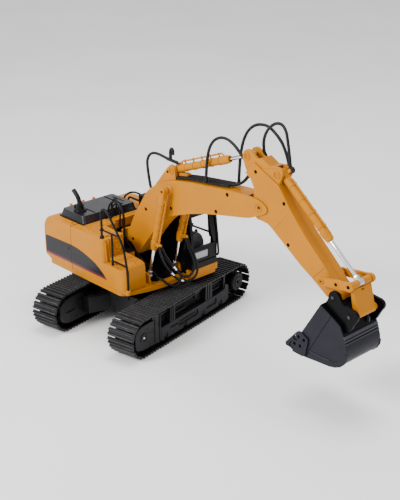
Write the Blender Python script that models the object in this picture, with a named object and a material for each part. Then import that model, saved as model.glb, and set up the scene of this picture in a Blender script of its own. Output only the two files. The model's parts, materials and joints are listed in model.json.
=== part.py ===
"""RC excavator: tracked undercarriage, slewing house, boom, arm and bucket. Lengths are millimetres."""

import math

import bmesh
import bpy
from mathutils import Matrix, Vector

MM = 0.001
SLEW_TURN = math.radians(10.58)

# Undercarriage, in its own frame: X across, Y along the tracks.
AXLE_Z = 27.75
AXLE_U = 107.5
GAUGE = 66.5
SHOES = 51
PITCH_R = 23.41
ROLLER_U = (-62.0, -20.0, 22.0, 63.0)
ROLLER_Z = 13.1

# Pivots in the plane of the boom (x, z).
BOOM_FOOT = (-10.0, 106.0)
BOOM_TIP = (226.0, 219.0)
LIFT_TOP = (69.5, 202.5)
LIFT_FOOT = (36.4, 73.0)
STICK_TAIL = (68.0, 226.5)
STICK_EYE = (202.0, 276.4)
CURL_TAIL = (250.0, 266.0)
LEVER_PIVOT = (331.5, 161.5)
LEVER_END = (370.0, 166.7)
LINK_END = (377.0, 134.0)
BUCKET_PIVOT = (353.0, 150.0)
LIFT_Y = 23.0

BOOM_HALF = 13.0
ARM_HALF = 11.0
GAP = 0.3

HOSE_R = 1.6


def clear_scene():
    for obj in list(bpy.data.objects):
        bpy.data.objects.remove(obj, do_unlink=True)


def material(name, colour, roughness, metallic=0.0):
    made = bpy.data.materials.new(name)
    made.use_nodes = True
    shader = made.node_tree.nodes["Principled BSDF"]
    shader.inputs["Base Color"].default_value = (*colour, 1.0)
    shader.inputs["Roughness"].default_value = roughness
    shader.inputs["Metallic"].default_value = metallic
    made.diffuse_color = (*colour, 1.0)
    return made


def make_materials():
    return {
        "body_yellow": material("body_yellow", (0.70, 0.30, 0.045), 0.42),
        "satin_black": material("satin_black", (0.018, 0.018, 0.021), 0.45),
        "cab_black": material("cab_black", (0.022, 0.022, 0.026), 0.5),
        "track_black": material("track_black", (0.02, 0.02, 0.023), 0.6),
        "frame_grey": material("frame_grey", (0.09, 0.09, 0.105), 0.5),
        "bucket_grey": material("bucket_grey", (0.03, 0.031, 0.04), 0.45),
        "bright_rod": material("bright_rod", (0.78, 0.78, 0.8), 0.15, 1.0),
        "steel": material("steel", (0.5, 0.5, 0.52), 0.3, 1.0),
        "hose_black": material("hose_black", (0.015, 0.015, 0.015), 0.7),
        "pane": material("pane", (0.5, 0.52, 0.55), 0.1),
        "seat_grey": material("seat_grey", (0.13, 0.13, 0.14), 0.6),
        "board_green": material("board_green", (0.02, 0.16, 0.06), 0.5),
    }


def empty(name, place, parent=None, turn=0.0):
    """An empty at a place given in its parent's frame."""
    made = bpy.data.objects.new(name, None)
    made.empty_display_size = 0.01
    made.location = Vector(place) * MM
    made.rotation_euler = (0.0, 0.0, turn)
    made.parent = parent
    bpy.context.scene.collection.objects.link(made)
    return made


def lifted(axis, across, along):
    """A point from its two coordinates across an axis and the one along it."""
    a, b = across
    return {"x": (along, a, b), "y": (a, along, b), "z": (a, b, along)}[axis]


def facing_out(bm):
    bmesh.ops.recalc_face_normals(bm, faces=bm.faces)
    if bm.calc_volume(signed=True) < 0:
        bmesh.ops.reverse_faces(bm, faces=bm.faces)
    return bm


def prism(outline, axis, low, high, bevel=0.0, segments=1):
    """A straight prism with bevelled rims."""
    bm = bmesh.new()
    lower = [bm.verts.new(lifted(axis, p, low)) for p in outline]
    upper = [bm.verts.new(lifted(axis, p, high)) for p in outline]
    bm.faces.new(lower)
    bm.faces.new(upper)
    for i in range(len(outline)):
        j = (i + 1) % len(outline)
        bm.faces.new((lower[i], lower[j], upper[j], upper[i]))
    facing_out(bm)
    if bevel:
        rims = [e for e in bm.edges if any(len(f.verts) > 4 for f in e.link_faces)]
        rims = rims or list(bm.edges)
        bmesh.ops.bevel(bm, geom=rims, offset=bevel, segments=segments, affect="EDGES", profile=0.5)
    return bm


def box(x0, x1, y0, y1, z0, z1, bevel=0.0, segments=1):
    return prism([(x0, y0), (x1, y0), (x1, y1), (x0, y1)], "z", z0, z1, bevel, segments)


def rounded(outline, radius, steps=2):
    """The outline with each corner turned into an arc where the sides allow it."""
    points = []
    count = len(outline)
    for i, corner in enumerate(outline):
        here = Vector(corner)
        before = Vector(outline[i - 1]) - here
        after = Vector(outline[(i + 1) % count]) - here
        reach = min(radius, before.length * 0.45, after.length * 0.45)
        start = here + before.normalized() * reach
        end = here + after.normalized() * reach
        for step in range(steps + 1):
            t = step / steps
            point = start * (1 - t) ** 2 + here * 2 * t * (1 - t) + end * t**2
            points.append(tuple(point))
    return points


def ring_points(centre, radius, count=18):
    cx, cy = centre
    return [
        (cx + radius * math.cos(2 * math.pi * i / count), cy + radius * math.sin(2 * math.pi * i / count))
        for i in range(count)
    ]


def disc(axis, centre, radius, low, high, bevel=0.0, count=18):
    return prism(ring_points(centre, radius, count), axis, low, high, bevel, 1)


def turned(axis, centre, profile, count=16):
    """A solid of revolution from (radius, along) pairs that start and end on the axis."""
    bm = bmesh.new()
    loops = []
    for radius, along in profile:
        if radius == 0:
            loops.append([bm.verts.new(lifted(axis, centre, along))])
        else:
            loops.append([bm.verts.new(lifted(axis, p,
                                              along)) for p in ring_points(centre, radius, count)])
    for first, second in zip(loops, loops[1:]):
        for i in range(count):
            j = (i + 1) % count
            corners = [first[i % len(first)], first[j % len(first)], second[j % len(second)],
                       second[i % len(second)]]
            bm.faces.new(list(dict.fromkeys(corners)))
    return facing_out(bm)


def swept(path, radii, count=14):
    """A round bar through the points, with flat ends."""
    points = [Vector(p) for p in path]
    if isinstance(radii, (int, float)):
        radii = [radii] * len(points)
    bm = bmesh.new()
    side = None
    loops = []
    for i, point in enumerate(points):
        ahead = points[min(i + 1, len(points) - 1)] - points[max(i - 1, 0)]
        ahead.normalize()
        side = ahead.orthogonal() if side is None else side - ahead * side.dot(ahead)
        side.normalize()
        other = ahead.cross(side)
        loop = []
        for k in range(count):
            angle = 2 * math.pi * k / count
            offset = side * math.cos(angle) + other * math.sin(angle)
            loop.append(bm.verts.new(point + offset * radii[i]))
        loops.append(loop)
    bm.faces.new(loops[0])
    bm.faces.new(loops[-1])
    for first, second in zip(loops, loops[1:]):
        for k in range(count):
            j = (k + 1) % count
            bm.faces.new((first[k], first[j], second[j], second[k]))
    return facing_out(bm)


def smooth_path(points, steps=6):
    """A Catmull-Rom curve through the points."""
    knots = [Vector(p) for p in points]
    knots = [knots[0] * 2 - knots[1], *knots, knots[-1] * 2 - knots[-2]]
    path = []
    for a, b, c, d in zip(knots, knots[1:], knots[2:], knots[3:]):
        for step in range(steps):
            t = step / steps
            path.append((b * 2 + (c - a) * t + (a * 2 - b * 5 + c * 4 - d) * t**2
                         + (b * 3 - a - c * 3 + d) * t**3) / 2)
    path.append(knots[-2])
    return path


def temporary(bm):
    mesh = bpy.data.meshes.new("shape")
    bm.to_mesh(mesh)
    bm.free()
    made = bpy.data.objects.new("shape", mesh)
    bpy.context.scene.collection.objects.link(made)
    return made


def combined(base, joins=(), cuts=()):
    """One bmesh from a base, with solids joined on and then others cut away."""
    body = temporary(base)
    helpers = [(temporary(bm), "UNION") for bm in joins] + [(temporary(bm), "DIFFERENCE") for bm in cuts]
    for helper, operation in helpers:
        modifier = body.modifiers.new(operation, "BOOLEAN")
        modifier.operation = operation
        modifier.solver = "EXACT"
        modifier.object = helper
    bpy.context.view_layer.update()
    graph = bpy.context.evaluated_depsgraph_get()
    result = bpy.data.meshes.new_from_object(body.evaluated_get(graph))
    bm = bmesh.new()
    bm.from_mesh(result)
    bmesh.ops.remove_doubles(bm, verts=bm.verts, dist=1e-4)
    for obj in [body, *[h for h, _ in helpers]]:
        bpy.data.objects.remove(obj, do_unlink=True)
    return bm


def node(name, bm, look, parent, origin=(0.0, 0.0, 0.0), smooth=True):
    """A visible piece: its shape is given in millimetres, in the frame that the origin is measured in."""
    bmesh.ops.translate(bm, verts=bm.verts, vec=-Vector(origin))
    bmesh.ops.scale(bm, verts=bm.verts, vec=(MM, MM, MM))
    mesh = bpy.data.meshes.new(name)
    bm.to_mesh(mesh)
    bm.free()
    mesh.materials.append(look)
    if smooth:
        mesh.shade_smooth()
        mesh.set_sharp_from_angle(angle=math.radians(35))
    made = bpy.data.objects.new(name, mesh)
    made.parent = parent
    bpy.context.scene.collection.objects.link(made)
    return made


def flat(pivot, y=0.0):
    return (pivot[0], y, pivot[1])


def belt_point(distance, radius):
    """A point of the belt's loop, as (y, z), from how far along its pitch line and how far out it is."""
    straight = 2 * AXLE_U
    arc = math.pi * PITCH_R
    d = distance % (2 * (straight + arc))
    if d < straight:
        return (-AXLE_U + d, AXLE_Z + radius)
    if d < straight + arc:
        angle = math.pi / 2 - (d - straight) / PITCH_R
        return (AXLE_U + radius * math.cos(angle), AXLE_Z + radius * math.sin(angle))
    if d < 2 * straight + arc:
        return (AXLE_U - (d - straight - arc), AXLE_Z - radius)
    angle = -math.pi / 2 - (d - 2 * straight - arc) / PITCH_R
    return (-AXLE_U + radius * math.cos(angle), AXLE_Z + radius * math.sin(angle))


def belt(centre):
    """The endless track: a narrow chain band under wide shoes with two ridges each."""
    pitch = 2 * (2 * AXLE_U + math.pi * PITCH_R) / SHOES
    ridges = ((0.0, 24.9), (0.9, 27.75), (2.3, 27.75), (6.2, 25.9), (7.2, 27.75), (8.4, 27.75))
    bm = bmesh.new()
    loops = []
    for shoe in range(SHOES):
        for along, top in ridges:
            section = ((-21, top), (21, top), (21, 24.2), (8, 24.2), (8, 20.9), (-8, 20.9), (-8, 24.2),
                       (-21, 24.2))
            loop = []
            for across, radius in section:
                y, z = belt_point(shoe * pitch + along, radius)
                loop.append(bm.verts.new((centre + across, y, z)))
            loops.append(loop)
    for i, loop in enumerate(loops):
        following = loops[(i + 1) % len(loops)]
        for k in range(8):
            j = (k + 1) % 8
            bm.faces.new((loop[k], loop[j], following[j], following[k]))
    return facing_out(bm)


def mirrored(bm, side):
    """The shape as drawn for the +X track, or turned over for the other."""
    if side < 0:
        bmesh.ops.scale(bm, verts=bm.verts, vec=(-1, 1, 1))
        bmesh.ops.reverse_faces(bm, faces=bm.faces)
    return bm


def track_frame(side):
    outer = rounded([(-124, 14), (-108, 11), (-72, 8), (75, 8), (92, 14), (88, 34), (75, 36), (75, 27),
                     (43, 27),
                     (43, 50), (28, 50), (28, 28), (-42, 28), (-42, 50), (-52, 50), (-52, 28), (-72, 28),
                     (-74, 45), (-108, 44.5), (-124, 40)], 2.0, 1)
    inner = rounded([(-120, 16), (-100, 10), (100, 10), (122, 16), (122, 40), (100, 45), (-100, 45),
                     (-120, 40)], 4.0)
    joins = [prism(inner, "x", 48, 53.5), box(50, 84, -72, 75, 21.5, 43)]
    cuts = [disc("x", (u, ROLLER_Z), 2.3, 40, 90, 0, 16) for u in ROLLER_U]
    cuts.append(disc("x", (-AXLE_U, AXLE_Z), 3.6, 40, 90, 0, 20))
    cuts.append(disc("x", (AXLE_U, AXLE_Z), 4.6, 40, 60, 0, 20))
    cuts.append(box(60, 73, -71, 74, 40, 46))
    return mirrored(combined(prism(outer, "x", 79, 85), joins, cuts), side)


def sprocket(side):
    outline = []
    for tooth in range(13):
        for turn, radius in ((-0.3, 17.0), (-0.12, 20.4), (0.12, 20.4), (0.3, 17.0)):
            angle = 2 * math.pi * (tooth + turn) / 13
            outline.append((AXLE_U + radius * math.cos(angle), AXLE_Z + radius * math.sin(angle)))
    axle = (AXLE_U, AXLE_Z)
    profile = [(0, 49), (4.2, 49), (4.2, 54.5), (9, 55.5), (9, 78), (13, 79.5), (13, 84), (11, 85.5),
               (5, 85.5),
               (4, 83), (0, 83)]
    wheel = prism(outline, "x", 61, 72)
    return mirrored(combined(wheel, [turned("x", axle, profile)]), side)


def idler(side):
    profile = [(0, 49.5), (3.2, 49.5), (3.2, 54.5), (8, 55), (8, 58), (20.4, 59), (20.4, 63), (17, 64),
               (17, 69),
               (20.4, 70), (20.4, 74), (8, 75), (8, 77.5), (3.2, 78), (3.2, 84.5), (0, 84.5)]
    return mirrored(turned("x", (-AXLE_U, AXLE_Z), profile), side)


def roller(u, side):
    profile = [(0, 49.5), (2.0, 49.5), (2.0, 54.5), (6.0, 55), (6.0, 59), (4.4, 60), (4.4, 73), (6.0, 74),
               (6.0, 78),
               (2.0, 78.5), (2.0, 84), (0, 84)]
    return mirrored(turned("x", (u, ROLLER_Z), profile, 12), side)


def chassis():
    body = prism(rounded([(-28, -46), (28, -46), (28, 46), (-28, 46)], 6, 3), "z", 14, 44, 1.5)
    arms = []
    for across in (-1, 1):
        for along in (-1, 1):
            arm = [(20, 18), (20, 45), (34, 76), (47.6, 76), (47.6, 46), (36, 40), (28, 18)]
            outline = [(across * x, along * y) for x, y in arm]
            arms.append(prism(outline, "z", 17, 38, 1.0))
    return combined(body, arms)


def slew_ring():
    profile = [(0, 44.3), (38, 44.3), (38, 50), (35, 51), (35, 59.7), (0, 59.7)]
    return turned("z", (0, 0), profile, 40)


def drive_motor(side):
    motor = turned("x", (AXLE_U - 22, AXLE_Z),
                   [(0, 22), (8, 22), (9, 23), (9, 44), (3, 44), (3, 47.5), (0, 47.5)], 20)
    return mirrored(motor, side)


def build_undercarriage(root, looks):
    base = empty("undercarriage", (0, 0, 0), root, SLEW_TURN)
    node("chassis", chassis(), looks["track_black"], base)
    node("slew_ring", slew_ring(), looks["satin_black"], base)
    for label, side in (("left", 1), ("right", -1)):
        centre = side * GAUGE
        node(f"track_frame_{label}", track_frame(side), looks["frame_grey"], base)
        node(f"track_{label}", belt(centre), looks["track_black"], base, smooth=False)
        node(f"drive_motor_{label}", drive_motor(side), looks["steel"], base)
        axle = (centre, AXLE_U, AXLE_Z)
        pivot = empty(f"sprocket_axle_{label}", axle, base)
        node(f"sprocket_{label}", sprocket(side), looks["frame_grey"], pivot, axle)
        axle = (centre, -AXLE_U, AXLE_Z)
        pivot = empty(f"idler_axle_{label}", axle, base)
        node(f"idler_{label}", idler(side), looks["track_black"], pivot, axle)
        for number, u in enumerate(ROLLER_U, 1):
            axle = (centre, u, ROLLER_Z)
            pivot = empty(f"roller_axle_{label}_{number}", axle, base)
            node(f"roller_{label}_{number}", roller(u, side), looks["track_black"], pivot, axle)


def deck():
    outline = [(-124, -68), (-118, -73), (36, -74), (42, -70), (49, -56), (54, -36), (56, -10), (55, 14),
               (55, 24.5),
               (63, 24.5), (66, 28), (66, 73), (62, 77), (-112, 74), (-124, 66)]
    return combined(prism(rounded(outline, 3, 2), "z", 60, 65, 0.8, 1),
                    [box(57, 66, 26, 77, 64, 73, 0.8)])


def side_house():
    outline = rounded([(-66.7, -75), (4.7, -75), (4.7, -20.5), (-41, -20.5), (-41, 75), (-66.7, 75)], 4,
                      3)
    inside = [(-70, -72.5), (2.2, -72.5), (2.2, -23), (-43.5, -23), (-43.5, 72.5), (-70, 72.5)]
    shell = prism(outline, "z", 65.3, 130, 2.0)
    return combined(shell, cuts=[prism(inside, "z", 60, 127.5)])


def counterweight():
    profile = [(-67, 65.3), (-126, 65.3), (-133, 71), (-133, 113), (-131.5, 120.5), (-127, 126),
               (-119, 130), (-67, 130)]
    block = prism(profile, "y", -75, 75)
    rear = [e for e in block.edges if all(v.co.x < -80 for v in e.verts)]
    corners = [e for e in rear if abs(e.verts[0].co.y - e.verts[1].co.y) < 1]
    bmesh.ops.bevel(block, geom=corners, offset=4.0, segments=3, affect="EDGES", profile=0.5)
    return combined(block, cuts=[box(-127, -60, -71.5, 71.5, 60, 126.5)])


def hood():
    low = [(-110, -59.7), (-55, -59.7), (-55, 34), (-110, 34)]
    high = [(-108, -57.5), (-60, -57.5), (-60, 32), (-108, 32)]
    bm = bmesh.new()
    lower = [bm.verts.new((x, y, 130.3)) for x, y in low]
    upper = [bm.verts.new((x, y, 141)) for x, y in high]
    bm.faces.new(lower)
    bm.faces.new(upper)
    for i in range(4):
        j = (i + 1) % 4
        bm.faces.new((lower[i], lower[j], upper[j], upper[i]))
    facing_out(bm)
    bmesh.ops.bevel(bm, geom=list(bm.edges), offset=1.5, segments=2, affect="EDGES", profile=0.5)
    return bm


def exhaust():
    path = [(-83, -45, 141.3), (-83, -45, 147), (-83.5, -45, 153), (-86, -45, 158), (-91, -45, 163),
            (-99, -45, 169)]
    pipe = swept(path, [7.5, 5.5, 4.6, 4.3, 4.2, 4.0], 20)
    bore = swept([(-95, -45, 166), (-103, -45, 172)], 3.0, 16)
    return combined(pipe, cuts=[bore])


def handrail():
    y = -71.0
    rail = smooth_path([(-2, y, 130.3), (-2, y, 150), (-2, y, 166), (1, y, 171), (7, y, 171.5),
                        (19, y, 160.6),
                        (29, y, 148), (37, y, 137.5), (43, y, 126), (46.5, y, 111.5), (49, y, 97),
                        (49.5, y, 84)], 3)
    bars = [swept([(-2, y + 0.1, 142), (34.5, y + 0.1, 142)], 1.0, 9),
            swept([(19, y - 0.1, 141.7), (19.5, y - 0.1, 104)], 0.9, 11),
            swept([(19.2, y + 0.1, 104), (48.4, y + 0.1, 104)], 1.0, 9)]
    return combined(swept(rail, 1.3, 7), bars)


def boom_bracket():
    plate = rounded([(-38, 65.4), (-33, 106), (-20, 119), (-2, 118), (10, 104), (30, 86), (46, 78),
                     (46, 65.4)], 3, 2)
    joins = [prism(plate, "y", -18.5, -14.5, 0.6, 1), box(-38, 44, -18, 18, 65.4, 69),
             disc("y", BOOM_FOOT, 3.4, -18, 18), disc("y", LIFT_FOOT, 2.0, -27.5, -16, 0, 16),
             disc("y", LIFT_FOOT, 2.0, 16, 27.5, 0, 16)]
    return combined(prism(plate, "y", 14.5, 18.5, 0.6, 1), joins)


def cab_frame():
    profile = [(-38, 65.6), (56.5, 65.6), (56.5, 73.4), (65, 73.4), (65, 112), (60, 149), (56, 153),
               (-32, 153), (-38, 147)]
    shell = prism(profile, "y", 29, 77, 1.5)
    cuts = [box(-35.5, 54, 31.5, 74.5, 68, 150.5), box(50, 62.5, 31.5, 74.5, 76, 112),
            box(50, 58, 31.5, 74.5, 110, 148),
            box(40, 80, 34, 71, 103, 145), box(40, 80, 36, 61, 86.5, 98), box(-28, 52, 70, 90, 76, 145),
            box(-50, -30, 35, 70, 100, 145)]
    return combined(shell, cuts=cuts)


def seat():
    base = box(-12, 16, 40, 62, 68.3, 84, 2.0)
    back = prism([(-18, 80), (-9, 80), (-13, 118), (-20, 118)], "y", 41, 61, 1.5)
    return combined(base, [back])


def console():
    stand = box(38, 50, 36, 66, 68.3, 100, 2.0)
    levers = [swept([(43, y, 98), (40, y, 112)], 1.2, 10) for y in (42, 60)]
    return combined(stand, levers + [box(40, 50, 47, 55, 97, 113, 1.0)])


def build_house(root, looks):
    house = empty("slew", (0, 0, 60), root)
    origin = (0, 0, 60)

    def piece(name, bm, look, smooth=True):
        node(name, bm, looks[look], house, origin, smooth)

    piece("deck", deck(), "body_yellow")
    piece("side_house", side_house(), "body_yellow")
    piece("counterweight", counterweight(), "body_yellow")
    piece("hood", hood(), "satin_black")
    piece("exhaust", exhaust(), "satin_black")
    piece("toolbox", box(5, 46, -75, -66, 65.3, 96, 2.5), "body_yellow")
    piece("step_box", box(5, 44, -65.7, -37, 65.3, 103, 2.5), "body_yellow")
    piece("handrail", handrail(), "satin_black")
    piece("boom_bracket", boom_bracket(), "satin_black")
    piece("cab_frame", cab_frame(), "cab_black")
    piece("cab_pane", box(62.8, 64.0, 36.3, 60.7, 86.8, 97.7), "pane")
    piece("seat", seat(), "seat_grey")
    piece("console", console(), "seat_grey")
    piece("battery_box", box(-118, -78, -42, 42, 65.4, 104, 2.0), "satin_black")
    piece("circuit_board", box(-60, -4, -66, -28, 70, 71.6), "board_green")
    return house


def boom_half(side):
    outline = [(-34, 114), (-25, 121), (-14, 127.5), (-7, 142), (9, 167), (20, 184), (32, 195), (46, 211),
               (61, 231),
               (65, 233.5), (71, 233.5), (74.5, 230), (76.5, 218), (88, 217.5), (108, 221), (144, 224),
               (170, 227), (210, 227),
               (222, 228), (232, 226), (238, 221), (236, 213), (229, 209), (212, 203), (196, 199),
               (161, 193),
               (107, 179), (73, 169), (49, 151), (37, 137), (0, 96), (-6, 95), (-19, 108), (-30, 111)]
    low, high = sorted((side * GAP / 2, side * BOOM_HALF))
    slot = sorted((side * -5.0, side * (ARM_HALF + 0.4)))
    tail = sorted((side * 8.0, side * 30.0))
    cuts = [disc("y", BOOM_FOOT, 3.8, -40, 40), disc("y", BOOM_TIP, 3.4, -40, 40, 0, 20),
            disc("y", BOOM_TIP, 21.5, *slot, 0, 40),
            prism([(30, 197), (44, 206), (58, 212.3), (76, 216.6), (90, 219.5), (90, 245), (30, 245)],
                  "y", *tail),
            prism([(38, 213.5), (96, 221.3), (96, 245), (38, 245)], "y",
                  *sorted((side * -5.0, side * 5.3)))]
    pins = [disc("y", STICK_TAIL, 2.0, *sorted((side * GAP / 2, side * 7.0)), 0, 16),
            disc("y", LIFT_TOP, 2.0, *sorted((side * 10.0, side * 28.5)), 0, 16)]
    body = combined(prism(outline, "y", low, high, 0.8), cuts=cuts)
    return combined(body, pins)


def frame_between(tail, eye, y=0.0):
    """A matrix whose X axis runs from the tail pin to the eye pin, in the plane of the boom."""
    ahead = Vector((eye[0] - tail[0], 0, eye[1] - tail[1]))
    ahead.normalize()
    up = Vector((-ahead.z, 0, ahead.x))
    place = Matrix((ahead, Vector((0, 1, 0)), up)).transposed().to_4x4()
    place.translation = Vector(flat(tail, y))
    return place


def barrel(tail, eye, y, length, radius, bore, eye_half):
    """A cylinder's barrel: an eye on its tail pin, the tube, a collar and the pipe beside it."""
    tube = turned("x", (0, 0), [(0, 7), (radius * 0.8, 7), (radius, 9), (radius, length - 4),
                                (radius + 0.9, length - 4),
                                (radius + 0.9, length), (0, length)], 18)
    joins = [disc("y", (0, 0), 4.4, -eye_half, eye_half, 0, 20), box(2, 8.5, -eye_half, eye_half, -3, 3)]
    pipe = swept([(14, 0, radius - 1), (15, 0, radius + 3.2), (length - 8, 0, radius + 3.2),
                  (length - 7, 0, radius - 1)], 1.1, 8)
    cuts = [disc("x", (0, 0), bore, 13, length + 5, 0, 18), disc("y", (0, 0), 2.35, -10, 10, 0, 16)]
    bm = combined(tube, joins + [pipe], cuts)
    bmesh.ops.transform(bm, matrix=frame_between(tail, eye, y), verts=bm.verts)
    return bm


def rod(tail, eye, y, length, radius, eye_half, pin):
    """A cylinder's rod: an eye on its own pin and the bar that slides in the barrel."""
    bar = swept([(3, 0, 0), (length, 0, 0)], radius, 12)
    bm = combined(disc("y", (0, 0), 4.2, -eye_half, eye_half, 0, 22), [bar],
                  [disc("y", (0, 0), pin, -10, 10, 0, 16)])
    bmesh.ops.transform(bm, matrix=frame_between(eye, tail, y), verts=bm.verts)
    return bm


def arm_half(side):
    outline = [(201, 257), (210, 248), (215, 239), (217, 232), (212, 224), (211, 215), (216, 207),
               (224, 204),
               (236, 202), (250, 196), (259.5, 186.5), (282, 172), (291.5, 166), (312, 155), (335, 139.5),
               (346, 142),
               (352, 143.5), (359, 149), (358, 156), (352, 158), (344, 158.5), (335, 169), (321, 179),
               (297, 203),
               (289, 210), (257, 249), (257, 262), (257, 270), (250, 274), (244, 273), (237, 271),
               (227, 272),
               (214, 273), (209, 281), (203, 284), (197, 282), (194.5, 276), (196, 268)]

    def span(low, high):
        return sorted((side * low, side * high))

    ahead = frame_between(CURL_TAIL, LEVER_END)
    slot = box(-7.2, 34, -5.3, 5.3, -7.2, 7.2)
    bmesh.ops.transform(slot, matrix=ahead, verts=slot.verts)
    cuts = [slot, disc("y", STICK_EYE, 6.5, *span(-5, 5.2), 0, 24),
            prism([(180, 262), (201, 262), (209, 270), (209, 295), (180, 295)], "y", *span(-5, 5.2)),
            prism([(180, 259), (201, 259), (214, 272.5), (214, 295), (180, 295)], "y", *span(8.6, 20)),
            disc("y", BOOM_TIP, 3.4, -40, 40, 0, 20)]
    joins = [disc("y", STICK_EYE, 2.0, *span(GAP / 2, 8), 0, 16),
             disc("y", CURL_TAIL, 2.0, *span(GAP / 2, 8), 0, 16),
             disc("y", BUCKET_PIVOT, 6.6, *span(GAP / 2, 16.8), 0, 24),
             disc("y", BUCKET_PIVOT, 4.2, *span(16, 21.2), 0, 20),
             disc("y", LEVER_PIVOT, 4.0, *span(9, 16.8), 0, 20),
             disc("y", LEVER_PIVOT, 2.0, *span(10, 21.5), 0, 16)]
    body = combined(prism(outline, "y", *span(GAP / 2, ARM_HALF), 0.8), cuts=cuts)
    return combined(body, joins, [disc("y", BUCKET_PIVOT, 2.7, -40, 40, 0, 20)])


def lever():
    lower = Vector(LEVER_PIVOT)
    upper = Vector(LEVER_END)
    along = (upper - lower).normalized()
    off = Vector((-along.y, along.x))
    middle = (lower + upper) / 2
    outline = [lower - along * 3 - off * 4.2, middle - off * 4.0, upper + along * 3 - off * 4.4,
               upper + along * 5, upper + along * 3 + off * 4.4, middle + off * 4.6,
               lower - along * 3 + off * 4.2,
               lower - along * 5.5]
    outline = rounded([tuple(p) for p in outline], 2.5, 2)
    joins = [prism(outline, "y", -20.8, -17.2), disc("y", LEVER_END, 2.2, -20.9, 20.9, 0, 18)]
    body = combined(prism(outline, "y", 17.2, 20.8), joins)
    return combined(body, cuts=[disc("y", LEVER_PIVOT, 2.4, -40, 40, 0, 18)])


def link():
    top, low = LEVER_END, LINK_END
    plate = rounded([(367, 166), (373.5, 167.5), (382, 141), (381, 133), (373, 132), (371, 140)], 2, 2)
    joins = [disc("y", top, 4.4, -16.5, -5.3, 0, 22), disc("y", top, 4.4, 5.3, 16.5, 0, 22),
             disc("y", low, 4.2, -20.9, 20.9, 0, 22)]
    cuts = [disc("y", top, 2.6, -30, 30, 0, 18), disc("y", low, 2.6, -30, 30, 0, 18),
            box(355, 368.6, -5.2, 5.2, 156, 175), disc("y", top, 7.5, -5.2, 5.2, 0, 24)]
    return combined(prism(plate, "y", -16.3, 16.3), joins, cuts)


def bucket():
    outer = [(340, 138), (314.5, 94), (318.5, 66), (345, 67), (367.5, 69.5), (376, 75), (381.5, 83),
             (381, 96),
             (378, 103), (373.5, 115), (368, 122.5), (356, 128)]
    inner = [(337.5, 130), (300, 134), (290, 68.3), (345, 69.2), (366.5, 71.6), (374.5, 76.6),
             (379.2, 83.6),
             (378.7, 95.6), (376, 102), (371.5, 113.5), (366.5, 120.3), (355.5, 125.6)]
    ear = rounded([(336, 136), (344, 146), (346, 153), (354, 158), (362, 155.5), (371, 147), (379, 141.5),
                   (386, 137),
                   (385, 129), (378, 118), (371, 112), (361, 119), (352, 124)], 2.5, 2)
    ears = [prism(ear, "y", 21.5, 25.6), prism(ear, "y", -25.6, -21.5)]
    pins = []
    for side in (-1, 1):
        pins.append(disc("y", BUCKET_PIVOT, 2.2, *sorted((side * 14.5, side * 26.8)), 0, 16))
        pins.append(disc("y", BUCKET_PIVOT, 3.6, *sorted((side * 25, side * 27.4)), 0, 6))
        pins.append(disc("y", LINK_END, 3.4, *sorted((side * 25, side * 27.2)), 0, 6))
    shell = combined(prism(outer, "y", -30.5, 30.5, 0.8, 1), cuts=[prism(inner, "y", -28.5, 28.5)])
    shell = combined(shell, ears + pins)
    return combined(shell, cuts=[disc("y", BUCKET_PIVOT, 22.6, -14.2, 14.2, 0, 32)])


def cutting_edge():
    """The lip across the bucket's mouth, and the side cutters that stand on its cheeks."""
    plate = [(310.5, 95.5), (293, 74.6), (293.6, 71.4), (303.5, 70.1), (304.2, 66.9), (317.7, 66.5),
             (322.5, 68.1), (326.2, 90.5), (316.4, 95.1)]
    lip = [(317.7, 65.8), (317.7, 68.8), (297, 72.4), (294.5, 71.2), (304.5, 66.6)]
    joins = [prism(plate, "y", -33.2, -30.9, 0.4, 1), prism(lip, "y", -32, 32, 0.3, 1)]
    return combined(prism(plate, "y", 30.9, 33.2, 0.4, 1), joins)


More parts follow.
